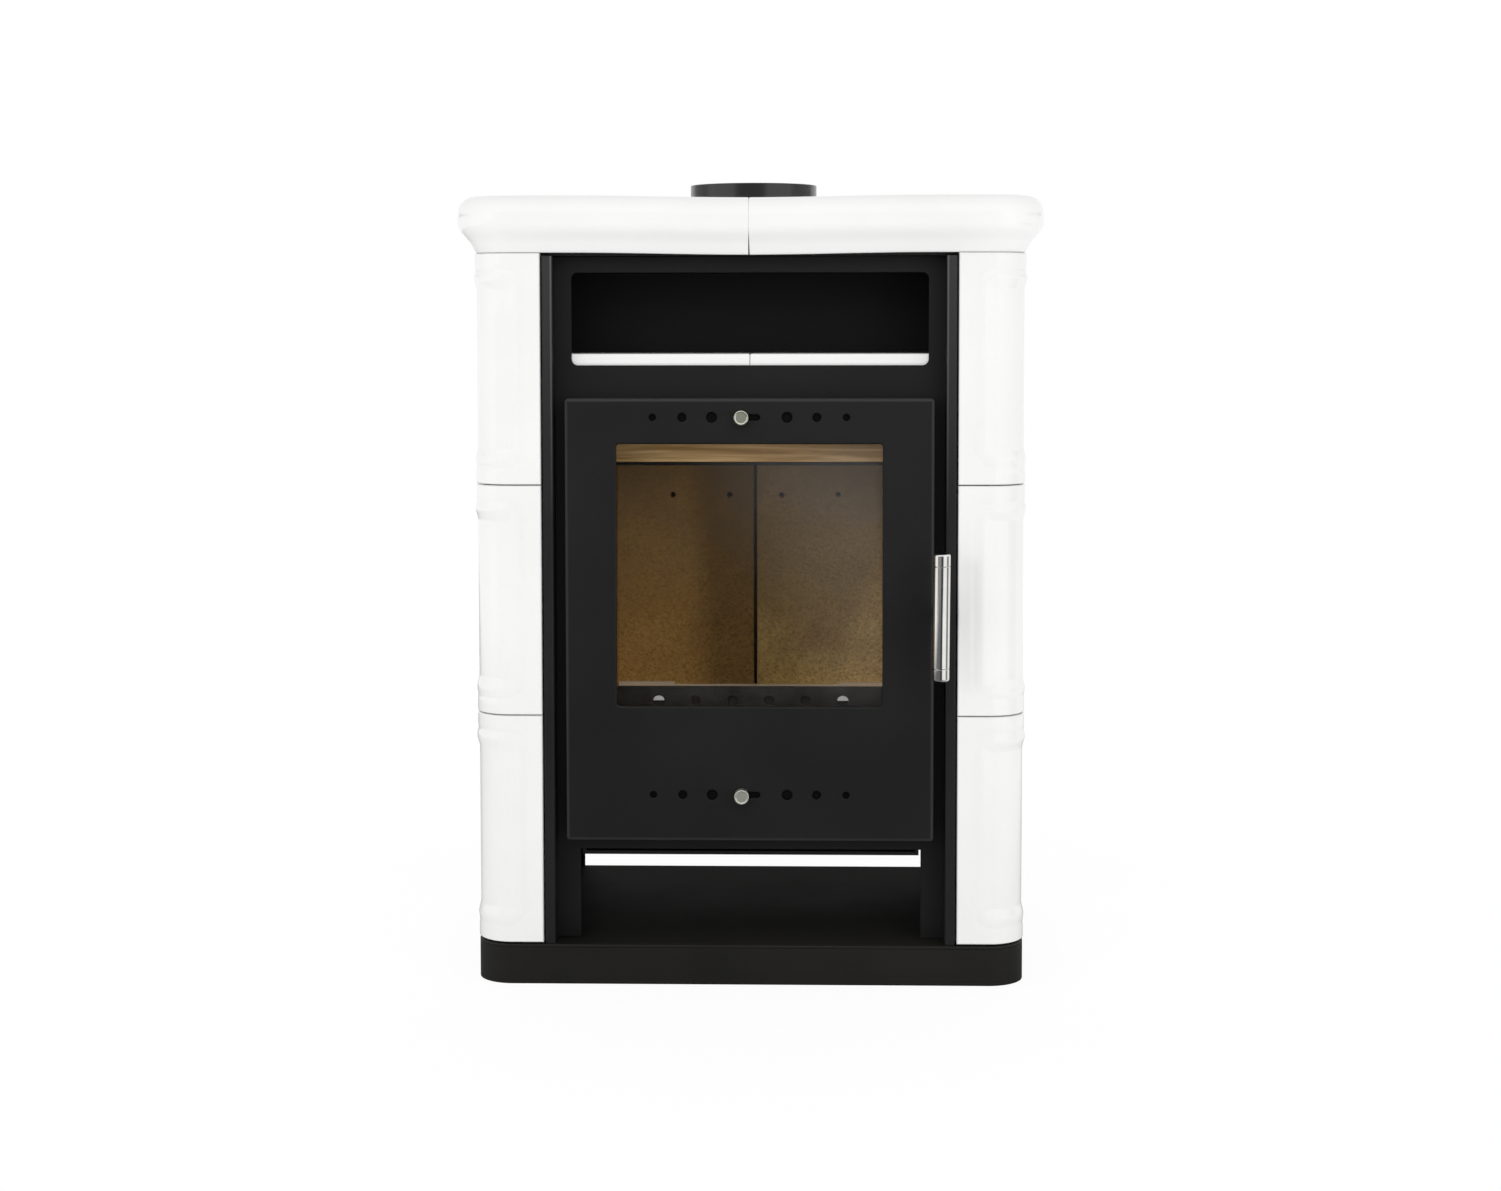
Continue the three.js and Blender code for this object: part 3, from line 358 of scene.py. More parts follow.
def casing_finish(low):
    """Heat-proof paint with painted light: lighter grey on the strip towards its top, where light from
    above falls, and a painted highlight there along the arris of its inner fold. Low is the right casing's
    lowest corner."""
    material = heat_paint("casing_paint", (0.0074, 0.0074, 0.0073), (0.0110, 0.0110, 0.0108), 0.55, 0.45)
    tree, surface, paint, (x, y, z) = second_coat(material)
    height = spread(tree, z, 0.0, 1.0, 0.52, 0.83)
    front = spread(tree, y, 0.0, 1.0, low[1] + 0.016, low[1] + 0.004)
    inner = spread(tree, reckon(tree, "ABSOLUTE", x), 0.0, 1.0, low[0] + 0.0026, low[0] + 0.0018)
    face = spread(tree, y, 0.0, 1.0, low[1] + 0.0016, low[1] + 0.0006)
    top_light = reckon(tree, "MULTIPLY", height, front)
    arris = reckon(tree, "MULTIPLY", inner, face)
    # Painted light: a lighter grey towards the strip's top, and over it a painted highlight along the inner
    # fold's arris.
    grey = mixed(tree, top_light, paint, (0.030, 0.030, 0.0295, 1))
    arris_highlight = mixed(tree, reckon(tree, "MULTIPLY", arris, top_light), grey, (0.105, 0.105, 0.102, 1))
    link(tree, surface, Base_Color=arris_highlight)
    return material


sheet = 0.002
low, high = corners("side_casing_right")
strip_width = 0.0117
step_depth = 0.0126
corner_radius = 0.026
fold_radius = 0.0016
flange = 0.025
recess_back = corners("front_panel")[0][1] - 0.0003
half = sheet / 2
inner = low[0] + half
outer = low[0] + strip_width - half
step = low[1] + step_depth + half
places = [
    (inner, recess_back),
    (inner, low[1] + half),
    (outer, low[1] + half),
    (outer, step),
    (high[0] - half, step),
    (high[0] - half, high[1] - half),
    (high[0] - flange, high[1] - half),
]
line, normals = folded(places, [fold_radius] * 3 + [corner_radius, fold_radius])
casing_paint = casing_finish(low)
for side, sign in (("left", -1), ("right", 1)):
    rings = sheet_along(line, normals, sheet, low[2], high[2])
    rings[..., 0] *= sign
    skin(f"casing_{side}", rings, "stove", casing_paint, [f"side_casing_{side}"])

# ---- Front panel and rear panel
# Two laser-cut sheets between the casings. The front one is set back and has the warming niche's
# opening, the fire mouth and the arch of the log niche. The rear one has vent slots.


def plate(name, rims, body, material, nodes=(), fit=None):
    """A plate with openings. A rim is an outline and its profile of (outward move, depth), from
    the back face to the front face. The first outline is the plate's own and the others are its
    openings. Both faces are filled with triangles, and each profile is a strip of quads. A fit
    takes the points (x, z, depth) and gives them back changed."""
    points, faces, back, front, start = [], [], [], [], 0
    for outline, profile in rims:
        rings = stacked(outline, profile)
        count, around = rings.shape[:2]
        strip = np.array(quads_between(count, around, False)) + start
        faces += (strip if start == 0 else strip[:, ::-1]).tolist()
        back.append(range(start, start + around))
        front.append(range(start + (count - 1) * around, start + count * around))
        points.append(rings.reshape(-1, 3))
        start += count * around
    points = fit(np.vstack(points)) if fit else np.vstack(points)
    for number, loops in enumerate((back, front)):
        flat = [[(*points[i][:2], 0.0) for i in loop] for loop in loops]
        order = [i for loop in loops for i in loop]
        for triangle in tessellate_polygon(flat):
            a, b, c = (order[i] for i in triangle)
            turn = np.cross(points[b][:2] - points[a][:2], points[c][:2] - points[a][:2])
            faces.append([a, b, c] if (turn > 0) == (number == 1) else [a, c, b])
    put(name, points[:, [0, 2, 1]], faces, body, material, nodes)


def cut_edge(back, front, burr=0.0003):
    """Profiles of a sheet's cut edges, for the plate and for its openings: both arrises are broken."""
    toward = math.copysign(burr, front - back)
    steps = [(-burr, back), (0.0, back + toward), (0.0, front - toward), (-burr, front)]
    return steps, [(-move, depth) for move, depth in steps]


def ring_of(x, z, radius):
    """A round hole's outline: a circle from its lowest point, anticlockwise, of 28 points."""
    turn = np.linspace(-math.pi / 2, 1.5 * math.pi, 28, endpoint=False)
    return np.column_stack([x + radius * np.cos(turn), z + radius * np.sin(turn)])


def arched(low, high, half, top):
    """A sheet's outline, seen from the front, with a square opening of a half width cut up into
    its foot as far as a top."""
    return np.array([
        (low[0], low[2]), (-half, low[2]), (-half, top), (half, top),
        (half, low[2]), (high[0], low[2]), (high[0], high[2]), (low[0], high[2]),
    ])


low, high = corners("front_panel")
niche_half = 0.2005
niche_sill = 0.6964
niche_top = 0.8003
niche_corner = 0.007
log_half = 0.193
log_top = 0.147
mouth_half = 0.168
mouth_sill = 0.178
mouth_top = 0.645
mouth_corner = 0.004
own, hole = cut_edge(high[1], low[1])
niche_outline = rounded(-niche_half, niche_half, niche_sill, niche_top, niche_corner)
mouth_outline = rounded(-mouth_half, mouth_half, mouth_sill, mouth_top, mouth_corner)
rims = [(arched(low, high, log_half, log_top), own), (niche_outline, hole), (mouth_outline, hole)]
plate("front_sheet", rims, "stove", black_paint, ["front_panel"])

low, high = corners("rear_panel")
rear_log_half = 0.222
vent_half = 0.022
vent_pitch = 0.07
vent_height = 0.006
vent_rows = (0.207, high[2] - 0.06)
# A hair less than half the height, so that the vents' ends keep a short edge.
vent_corner = vent_height * 0.499
own, hole = cut_edge(low[1], high[1])
rims = [(arched(low, high, rear_log_half, log_top), own)]
for row in vent_rows:
    for x in np.arange(-2, 3) * vent_pitch:
        vent = rounded(x - vent_half, x + vent_half, row, row + vent_height, vent_corner, 6)
        rims.append((vent, hole))
plate("rear_sheet", rims, "stove", black_paint, ["rear_panel"])

# A turned shape ends in a circle this small, so that its pole is closed by a flat face.
pole = 0.00005
screw_head = 0.0042
screw_dome = 0.0024
socket = 0.0016
head_back = high[1] + 0.0001
head_rim = high[1] + 0.0002
socket_floor = high[1] + 0.0009
turn = np.linspace(0, math.pi / 2, 6)[1:]
screw = [(pole, socket_floor), (socket, socket_floor), (socket, head_rim + screw_dome)]
screw += [(socket + (screw_head - socket) * math.sin(a), head_rim + screw_dome * math.cos(a)) for a in turn]
screw += [(screw_head, head_back), (pole, head_back)]
screw_side = high[0] - 0.010
screw_top = high[2] - 0.016
screw_rows = np.linspace(0.170, screw_top, 5)
screw_places = [(x, z) for x in (-screw_side, screw_side) for z in screw_rows]
screw_places += [(x, screw_top) for x in (-0.11, 0.0, 0.11)]
for number, (x, z) in enumerate(screw_places):
    turned(f"rear_screw_{number + 1}", screw, (x, z), 1, "stove", bare_steel, around=20)

# ---- Warming niche
# A folded steel box behind the front panel, floored with two white glazed tiles that butt in the
# middle.


def white_glaze(name, dark, light):
    """Glossy white glaze: almost even white with a faint cloud, a slow waviness of the surface
    and a very slight pitting, as poured glaze has."""
    material, tree, surface, place = bare_finish(name, Specular_IOR_Level=0.5)
    cloud = noise(tree, place, 9.0, 4.0)
    waves = noise(tree, place, 22.0, 1.0)
    pits = noise(tree, place, 260.0, 2.0)
    tone = tint(tree, cloud, (0.3, dark), (0.7, light))
    link(tree, surface, Base_Color=tone, Roughness=spread(tree, pits, 0.07, 0.14))
    relief(tree, surface, (waves, 0.0012, 0.35), (pits, 0.00012, 0.1))
    return material


# A lighter copy of the white glaze for the shelf tiles: painted light that makes up for the shade inside
# the niche.
shelf_lit_glaze = white_glaze("shelf_lit_glaze", (0.94, 0.938, 0.93), (0.96, 0.96, 0.955))
# A darker copy of the black paint for the niche's liner: painted shade for its recess.
niche_paint = heat_paint("niche_paint", (0.0022, 0.0022, 0.0022), (0.0036, 0.0036, 0.0036), 0.6, 0.5, 0.25)
# The two tiles are this much longer towards each other than their solids, so that they butt.
shelf_butt = 0.0005
shelf_edge = 0.0022
shelf_corner = 0.0012
for side in ("left", "right"):
    name = f"niche_shelf_tile_{side}"
    low, high = corners(name)
    if side == "right":
        low[0] -= shelf_butt
    else:
        high[0] += shelf_butt
    outline = rounded(low[0], high[0], low[1], high[1], shelf_corner, 4)
    profile = rolled(0.0, low[2], 1, shelf_edge, 5)
    profile += rolled(0.0, high[2], -1, shelf_edge, 5)[::-1]
    skin(f"shelf_tile_{side}", stacked(outline, profile), "stove", shelf_lit_glaze, [name])

# ---- Side tiles
# Three cast and glazed tiers a side that wrap the front corner. A flat margin runs round each
# tile, then a shallow groove, a bead with rounded corners, and a slope down to the plain field.
# The joints are open hairlines between rounded edges.

glaze = white_glaze("white_glaze", (0.86, 0.858, 0.85), (0.89, 0.89, 0.885))
low, high = corners("side_tile_right_lower")
shell = 0.012
corner = 0.038
field = corners("base_tray")[1][0] - 0.0027
front_plane = corners("side_casing_right")[0][1]
edge_round = 0.0014
joint_close = 0.0002
start_x = low[0]
flat_run = field - corner - start_x
arc_run = corner * math.pi / 2
run = flat_run + arc_run + high[1] - front_plane - corner


def tile_path(s):
    """Plan points and outward normals at distances s from the tile's front end: straight along
    the front, a quarter circle round the corner, straight along the side."""
    turn = np.clip((s - flat_run) / corner, 0, math.pi / 2)
    x = start_x + np.minimum(s, flat_run) + corner * np.sin(turn)
    y = front_plane + corner * (1 - np.cos(turn)) + np.maximum(s - flat_run - arc_run, 0)
    return np.stack([x, y], -1), np.stack([np.sin(turn), -np.cos(turn)], -1)


def ease(value, start, end):
    """Zero up to the start, one from the end, and a smooth S between."""
    share = np.clip((value - start) / (end - start), 0, 1)
    return share * share * (3 - 2 * share)


margin_rise = 0.0032
margin_end, field_start = 0.024, 0.052
groove_depth, groove_place, groove_width = 0.0005, 0.0185, 0.0036
bead_height, bead_place, bead_width = 0.0009, 0.0285, 0.0062
relief_turn = 0.040


def tile_relief(s, z, height):
    """How far the glaze stands over the field. Each point has a distance to the tile's edges that
    turns the corners on an arc. Over that distance run the margin, less a groove, plus a bead that
    is fuller along the top than elsewhere. Groove and bead are bell curves."""
    from_end = np.maximum(relief_turn - np.minimum(s, run - s), 0)
    from_edge = np.maximum(relief_turn - np.minimum(z, height - z), 0)
    inward = relief_turn - np.hypot(from_end, from_edge)
    margin = margin_rise * (1 - ease(inward, margin_end, field_start))
    groove = groove_depth * np.exp(-(((inward - groove_place) / groove_width) ** 2))
    bead = bead_height * np.exp(-(((inward - bead_place) / bead_width) ** 2))
    return margin - groove + bead * (0.75 + 0.5 * ease(z, 0.3 * height, 0.7 * height))


def along(total, fine, steps_fine, steps_coarse):
    """Distances from 0 to a total, close together within a fine zone at both ends."""
    ends = np.linspace(0, fine, steps_fine)
    middle = np.linspace(fine, total - fine, steps_coarse)[1:-1]
    return np.concatenate([ends, middle, total - ends[::-1]])


relief_zone = 0.05
round_corner = flat_run + np.linspace(0, arc_run, 16)
s = np.unique(np.concatenate([along(run, relief_zone, 50, 10), round_corner]))
path, out = tile_path(s)
for row in ("lower", "middle", "upper"):
    for side, sign in (("left", -1), ("right", 1)):
        name = f"side_tile_{side}_{row}"
        low, high = corners(name)
        foot = low[2] - joint_close
        height = high[2] + joint_close - foot
        S, Z = np.meshgrid(s, along(height, relief_zone, 60, 12), indexing="ij")
        to_edge = np.minimum(np.minimum(S, run - S), np.minimum(Z, height - Z))
        near = np.clip(edge_round - to_edge, 0, edge_round)
        face = tile_relief(S, Z, height) - (edge_round - np.sqrt(edge_round**2 - near**2))
        # The last two points of a ring lie inside, at the tile's top and foot.
        rise = np.hstack([face, np.full((len(s), 2), -shell)])
        level = np.hstack([Z, np.broadcast_to([height, 0.0], (len(s), 2))])
        points = path[:, None] + rise[..., None] * out[:, None]
        rings = np.dstack([points, foot + level])
        rings[..., 0] *= sign
        skin(f"relief_tile_{side}_{row}", rings, "stove", glaze, [name], crease=60)

# ---- Ceramic top
# Two moulded halves butt in the middle round the flue. From below: a stepped cove, an upright
# band, and a rolled lip up to the flat top. Firing has let them sink a little towards the joint,
# which is open at the foot and closes above.

low, high = corners("top_tile_right")
overhang = 0.022
hole_radius = 0.0775
mouth_round = 0.0025
joint_gap = low[0]
joint_left = 0.1
joint_round = 0.0014
joint_sharp = 0.14
flue_y = (corners("flue_collar")[0][1] + corners("flue_collar")[1][1]) / 2
plan_radius = corner + overhang
sag = 0.0026
# Share of the overhang that the moulding draws in, and its height over the tile's foot.
moulding = np.array([
    (1.0, 0.0), (0.93, 0.0003), (0.87, 0.002), (0.78, 0.0055), (0.70, 0.0085), (0.62, 0.0115),
    (0.54, 0.0142), (0.44, 0.0167), (0.33, 0.0195), (0.22, 0.0222), (0.10, 0.0258), (0.02, 0.0300),
    (0.0, 0.0345), (0.0, 0.0410), (0.015, 0.0460), (0.06, 0.0505), (0.14, 0.0545), (0.27, 0.0580),
    (0.42, 0.0606), (0.60, 0.0623), (0.80, 0.0630),
])


def half_plan(inset, count_front, count_arc, count_side, count_back):
    """The outer outline of one half in plan, drawn in by an inset: front edge from the joint, round
    the corner, along the side, and back along the rear to the joint."""
    w = high[0] - inset
    front = low[1] + inset
    r = plan_radius - inset
    turn = np.linspace(0, math.pi / 2, count_arc)
    x = [np.linspace(0, w - r, count_front)[:-1], w - r + r * np.sin(turn),
         np.full(count_side - 1, w), np.linspace(w, 0, count_back)[1:]]
    y = [np.full(count_front - 1, front), front + r - r * np.cos(turn),
         np.linspace(front + r, high[1], count_side)[1:], np.full(count_back - 1, high[1])]
    return np.column_stack([np.concatenate(x), np.concatenate(y)])


# From the outside in: lines in plan and their heights over the moulding, the flat top, the rounded
# mouth of the flue's hole and its foot. The hole's points are spread round it so that each lies
# across from the outline's point of the same number.
outer = [half_plan(share * overhang, 26, 16, 10, 12) for share, _ in moulding]
heights = [low[2] + rise for _, rise in moulding]
stations = len(outer[0])
hole_turn = np.radians([-90, -40, -12, 42, 90])
swing = np.interp(np.arange(stations), [0, 25, 40, 49, stations - 1], hole_turn)
away = np.column_stack([np.cos(swing), np.sin(swing)])
inner = (0.0, flue_y) + away * hole_radius
lines = outer + [outer[-1] + (inner - outer[-1]) * share for share in (0.1, 0.3, 0.6, 0.9)]
heights += [high[2]] * 4
for move, z in rolled(0.0, high[2], -1, mouth_round, 5):
    lines.append(inner - away * move)
    heights.append(z)
lines.append(inner)
heights.append(low[2])
sections = [np.column_stack([line, np.full(stations, z)]) for line, z in zip(lines, heights)]


def rounded_end(ring, inward):
    """Rings that round off an end of the moulding at the joint: its section, drawn in on itself by
    the insets of a rounded edge, at the drops of that edge from the joint's plane. The edge is full
    along the flat top and almost sharp down the front."""
    section = ring[:, 1:]
    ahead = np.roll(section, -1, 0)
    area = (section[:, 0] * ahead[:, 1] - section[:, 1] * ahead[:, 0]).sum()
    full = joint_sharp + (1 - joint_sharp) * ease(section[:, 1], high[2] - 0.007, high[2] - 0.001)
    rings = []
    for move, fall in rolled(0.0, 0.0, 1, joint_round, 5):
        drawn = section + full[:, None] * (grown(section, math.copysign(1, area) * move) - section)
        rings.append(np.column_stack([full * fall, drawn]))
    return rings if inward else rings[::-1]


half_top = np.stack(sections, 1)
half_top = np.stack([*rounded_end(half_top[0], True), *half_top[1:-1], *rounded_end(half_top[-1], False)])
for side, sign in (("left", -1), ("right", 1)):
    grid = half_top.copy()
    gap = joint_gap * (1 - (1 - joint_left) * ease(grid[..., 2], low[2] + 0.001, low[2] + 0.030))
    grid[..., 0] = gap + grid[..., 0] * (high[0] - gap) / high[0]
    grid[..., 2] -= sag * (1 - ease(grid[..., 0], 0.0, 0.2))
    grid[..., 0] *= sign
    skin(f"top_{side}", grid, "stove", glaze, [f"top_tile_{side}"], crease=50)

# ---- Flue
# A drawn steel collar stands out of the ceramic top. The stove pipe slides over it, and a pipe
# inside it comes up from the fire chamber.

collar_steel = heat_paint("collar_steel", (0.009, 0.0090, 0.0088), (0.014, 0.0138, 0.0132), 0.23, 0.18, 0.7)
pipe_wall = 0.003
for name, edge in (("flue_collar", 0.0008), ("flue_pipe", 0.0005)):
    low, high = corners(name)
    middle = (low + high) / 2
    outside = (high[0] - low[0]) / 2
    # The profile is the wall's section, a closed loop with rounded edges, so it is endless.
    profile = rounded(outside - pipe_wall, outside, low[2], high[2], edge, 4)
    turned(f"{name}_tube", profile, middle[:2], 2, "stove", collar_steel, [name], True, 96)

# ---- Fire chamber
# A welded steel box with a hearth board, a cast grate, an ash pan on two rails, and vermiculite
# boards at the sides, at the rear in two halves, and over the fire as a baffle.


def dress(nodes, material):
    """Gives frame pieces that keep their own shape a finish."""
    for name in nodes:
        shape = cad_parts[name].data
        shape.materials.clear()
        shape.materials.append(material)


def vermiculite(name, foot, middle, top, centre_shade=1.0):
    """Pressed vermiculite: fine gold and brown flakes, golden near the hearth and browner and darker higher
    up, which is painted shade under the baffle, with broad clouds and a crumbly skin. Towards x = 0 the
    colour falls to the given share: painted shade in the middle of the chamber."""
    material, tree, surface, place = bare_finish(name, Roughness=0.85, Specular_IOR_Level=0.2)
    flakes = node(tree, "TexVoronoi", Vector=place, Scale=430.0).outputs["Color"]
    flake = node(tree, "SeparateColor", Color=flakes).outputs["Red"]
    cloud = noise(tree, place, 11.0, 6.0)
    grain = noise(tree, place, 380.0, 4.0)
    x, _, z = node(tree, "SeparateXYZ", Vector=place).outputs
    ragged = reckon(tree, "MULTIPLY_ADD", cloud, 0.22, z)
    share = spread(tree, ragged, 0.0, 1.0, 0.36, 0.66)
    speck = tint(tree, flake, (0.0, (0.58, 0.52, 0.42)), (0.3, (0.90, 0.88, 0.85)),
                 (0.75, (1.0, 1.0, 1.0)), (1.0, (1.28, 1.26, 1.15)))
    # Painted shade: browner and darker with height, towards the baffle above.
    height_shade = tint(tree, share, (0.0, foot), (0.5, middle), (1.0, top))
    bare = spread(tree, share, 0.9, 0.25, 0.0, 1.0)
    flaked = mixed(tree, bare, height_shade, speck, "MULTIPLY")
    # Painted shade: darker towards x = 0, in the middle of the chamber.
    drift = reckon(tree, "MULTIPLY_ADD", cloud, 0.03, reckon(tree, "ABSOLUTE", x))
    centre_shade_factor = spread(tree, drift, centre_shade, 1.0, 0.062, 0.108, "SMOOTHSTEP")
    final = node(tree, "VectorMath", {"operation": "SCALE"}, in_0=flaked, Scale=centre_shade_factor)
    link(tree, surface, Base_Color=final.outputs["Vector"])
    relief(tree, surface, (flake, 0.0002, 0.25), (grain, 0.0003, 0.4))
    return material


def casting():
    """Raw cast iron: dark grey-brown with a sandy skin."""
    material, tree, surface, place = bare_finish("cast_iron", Metallic=0.4)
    cloud = noise(tree, place, 40.0, 6.0)
    sand = noise(tree, place, 500.0, 4.0)
    tone = tint(tree, cloud, (0.3, (0.03, 0.028, 0.026)), (0.7, (0.06, 0.055, 0.05)))
    link(tree, surface, Base_Color=tone, Roughness=spread(tree, sand, 0.55, 0.8))
    relief(tree, surface, (sand, 0.0005, 0.6))
    return material


def streaked_board():
    """The baffle's front edge: pale golden vermiculite with long streaks left by the press."""
    material, tree, surface, place = bare_finish("baffle_slab", Roughness=0.85, Specular_IOR_Level=0.2)
    streak = lined(tree, place, (7.0, 30.0, 150.0), 5.0, Distortion=0.6)
    grain = noise(tree, place, 420.0, 3.0)
    tone = tint(tree, streak, (0.32, (0.38, 0.21, 0.07)), (0.5, (0.55, 0.33, 0.12)),
                (0.68, (0.84, 0.56, 0.27)))
    link(tree, surface, Base_Color=tone)
    relief(tree, surface, (streak, 0.0006, 0.3), (grain, 0.0003, 0.4))
    return material


fire_board = vermiculite("fire_board", (0.80, 0.50, 0.15), (0.45, 0.27, 0.088), (0.30, 0.20, 0.090))
# The right board's colours are lighter, partly painted light for the haze over the right of the window; the
# left board is darkened towards the middle as painted shade.
rear_boards = {
    "left": vermiculite("left_rear_board", (0.78, 0.50, 0.16), (0.46, 0.28, 0.09), (0.30, 0.20, 0.09), 0.6),
    "right": vermiculite("right_rear_board", (0.98, 0.74, 0.30), (0.42, 0.29, 0.115), (0.26, 0.19, 0.098)),
}
baffle_slab = streaked_board()
cast_iron = casting()
dress(["firebox_shell", "firebox_lid", "top_plate"], black_paint)
dress(["niche_liner"], niche_paint)
dress(["grate"], cast_iron)
dress(["ash_pan"], bare_steel)
dress(["hearth_board", "side_board_left", "side_board_right"], fire_board)


def pale_fibre(name, dark, light):
    """Soft board or fibre: a dull pale skin with fine pores."""
    material, tree, surface, place = bare_finish(name, Roughness=0.9, Specular_IOR_Level=0.2)
    pores = noise(tree, place, 600.0, 4.0)
    cloud = noise(tree, place, 35.0, 4.0)
    link(tree, surface, Base_Color=tint(tree, cloud, (0.3, dark), (0.7, light)))
    relief(tree, surface, (pores, 0.0004, 0.5))
    return material


fibre_pad = pale_fibre("fibre_pad", (0.88, 0.87, 0.84), (0.96, 0.95, 0.92))
pale_board = pale_fibre("pale_board", (0.97, 0.86, 0.66), (0.99, 0.93, 0.76))

# A thin black strip under the baffle's front edge is a dark sheet that stands in for the shadow beneath the
# baffle: painted shade. The baffle is thinner than its solid by the lift of its underside.
low, high = corners("baffle_plate")
baffle_lift = 0.0022
baffle_under = 0.0035
baffle_edge = 0.0015
baffle_corner = 0.002
low[2] += baffle_lift
outline = rounded(low[0], high[0], low[1], high[1], baffle_corner, 4)
profile = rolled(0.0, low[2], 1, baffle_under, 6)
profile += rolled(0.0, high[2], -1, baffle_edge, 4)[::-1]
skin("baffle_board", stacked(outline, profile), "stove", baffle_slab, ["baffle_plate"])

shade_strip_half = 0.1685
shade_strip_foot, shade_strip_top = low[2] - 0.0038, low[2] - 0.0003
shade_strip_front = low[1] + 0.0012
shade_strip_thick = 0.003
shade_strip_corner = 0.0005
shade_strip_burr = 0.0004
# The painted shade strip: black, under the baffle's front edge.
shade_strip = rounded(-shade_strip_half, shade_strip_half, shade_strip_foot, shade_strip_top, shade_strip_corner, 3)
rims = [(shade_strip, cut_edge(shade_strip_front + shade_strip_thick, shade_strip_front, shade_strip_burr)[0])]
plate("baffle_shade_strip", rims, "stove", black_paint)

# The rear boards have worn back at their joint and have two small holes each.
board_holes = (0.032, 0.102)
board_hole = 0.0032
hole_height = 0.5313
joint_wear = 0.0014
board_corner = 0.001
board_burr = 0.0008
for side, sign in (("left", -1), ("right", 1)):
    name = f"back_board_{side}"
    low, high = corners(name)
    if side == "right":
        low[0] += joint_wear
    else:
        high[0] -= joint_wear
    own, hole = cut_edge(high[1], low[1], board_burr)
    rims = [(rounded(low[0], high[0], low[2], high[2], board_corner, 3), own)]
    rims += [(ring_of(sign * x, hole_height, board_hole), hole) for x in board_holes]
    plate(f"rear_board_{side}", rims, "stove", rear_boards[side], [name])

low, high = corners("log_guard")
guard_row = 0.3135
guard_pitch = 0.042
guard_hole = 0.0055
end_hole = 0.0068
end_place = 2.5 * guard_pitch
guard_corner = 0.002
guard_burr = 0.0007
own, hole = cut_edge(high[1], low[1], guard_burr)
rims = [(rounded(low[0], high[0], low[2], high[2], guard_corner, 4), own)]
rims += [(ring_of(x, guard_row, guard_hole), hole) for x in (np.arange(4) - 1.5) * guard_pitch]
rims += [(ring_of(x, guard_row, end_hole), hole) for x in (-end_place, end_place)]
plate("guard_bar", rims, "stove", cast_iron, ["log_guard"])

# A second leaf stiffens the guard, and a pale half-round plug fills the top of each end hole.
leaf_front = high[1] + 0.0004
leaf_thick = 0.002
leaf_end = 0.006
leaf_top = high[2] - 0.003
leaf_corner = 0.001
leaf = rounded(low[0] + leaf_end, high[0] - leaf_end, low[2], leaf_top, leaf_corner, 3)
rims = [(leaf, cut_edge(leaf_front + leaf_thick, leaf_front)[0])]
plate("guard_leaf", rims, "stove", cast_iron)
plug_radius = end_hole - 0.0004
plug_squash = 0.86
plug_burr = 0.0004
turn = np.linspace(0, math.pi, 15)
half_round = np.column_stack([np.cos(turn), np.sin(turn) * plug_squash]) * plug_radius
plug_back, plug_front = high[1] + 0.0002, low[1] + 0.0008
plug_profile = cut_edge(plug_back, plug_front, plug_burr)[0]
for side, sign in (("left", -1), ("right", 1)):
    rims = [(half_round + (sign * end_place, guard_row), plug_profile)]
    plate(f"guard_plug_{side}", rims, "stove", fibre_pad)

# A pale kerb along the foot of the rear boards, thicker towards its ends.
kerb_back = corners("back_board_left")[0][1] - 0.0005
kerb_front = kerb_back - 0.006
kerb_foot = corners("hearth_board")[1][2] + 0.0003
kerb_half = 0.1695
kerb_left, thick_left = -0.100, 0.2996
kerb_right, thick_right = 0.104, 0.2990
kerb_thin = 0.2966
kerb_burr = 0.0006
kerb = np.array([
    (kerb_half, kerb_foot), (kerb_half, thick_right), (kerb_right, thick_right),
    (kerb_right, kerb_thin), (kerb_left, kerb_thin), (kerb_left, thick_left),
    (-kerb_half, thick_left), (-kerb_half, kerb_foot),
])
rims = [(kerb, cut_edge(kerb_back, kerb_front, kerb_burr)[0])]
plate("hearth_kerb", rims, "stove", pale_board)

# ---- Hinges
# Two brackets on the front panel, each with a pin through the eye that is fixed inside the door.

dress(["hinge_bracket_lower", "hinge_bracket_upper"], black_paint)
dress(["hinge_pin_lower", "hinge_pin_upper", "hinge_eye_lower", "hinge_eye_upper"], bare_steel)

# ---- Door
# A deep-folded steel door with bevelled front edges, a window, two rows of air holes with a slot
# in the middle for the slide's knob, and an inner frame that holds the rope seal.


def door_finish(low, high):
    """Heat-proof paint with a painted highlight along the door's outer edges: over the last few millimetres
    towards the door's outline the tone rises. The distance to the outline is the larger of how far a point
    lies beyond the door's half width and its half height."""
    material = heat_paint("door_paint", (0.0044, 0.0044, 0.0044), (0.0070, 0.0070, 0.0069), 0.6, 0.5)
    tree, surface, paint, place = second_coat(material)
    beyond = []
    for axis in (0, 2):
        apart = reckon(tree, "SUBTRACT", place[axis], (low[axis] + high[axis]) / 2)
        apart = reckon(tree, "ABSOLUTE", apart)
        beyond.append(reckon(tree, "SUBTRACT", apart, (high[axis] - low[axis]) / 2))
    # Painted highlight: the tone rises towards the door's outline.
    edge_highlight = spread(tree, reckon(tree, "MAXIMUM", *beyond), 0.0, 1.0, -0.0042, -0.0008)
    link(tree, surface, Base_Color=mixed(tree, edge_highlight, paint, (0.032, 0.032, 0.0315, 1)))
    return material


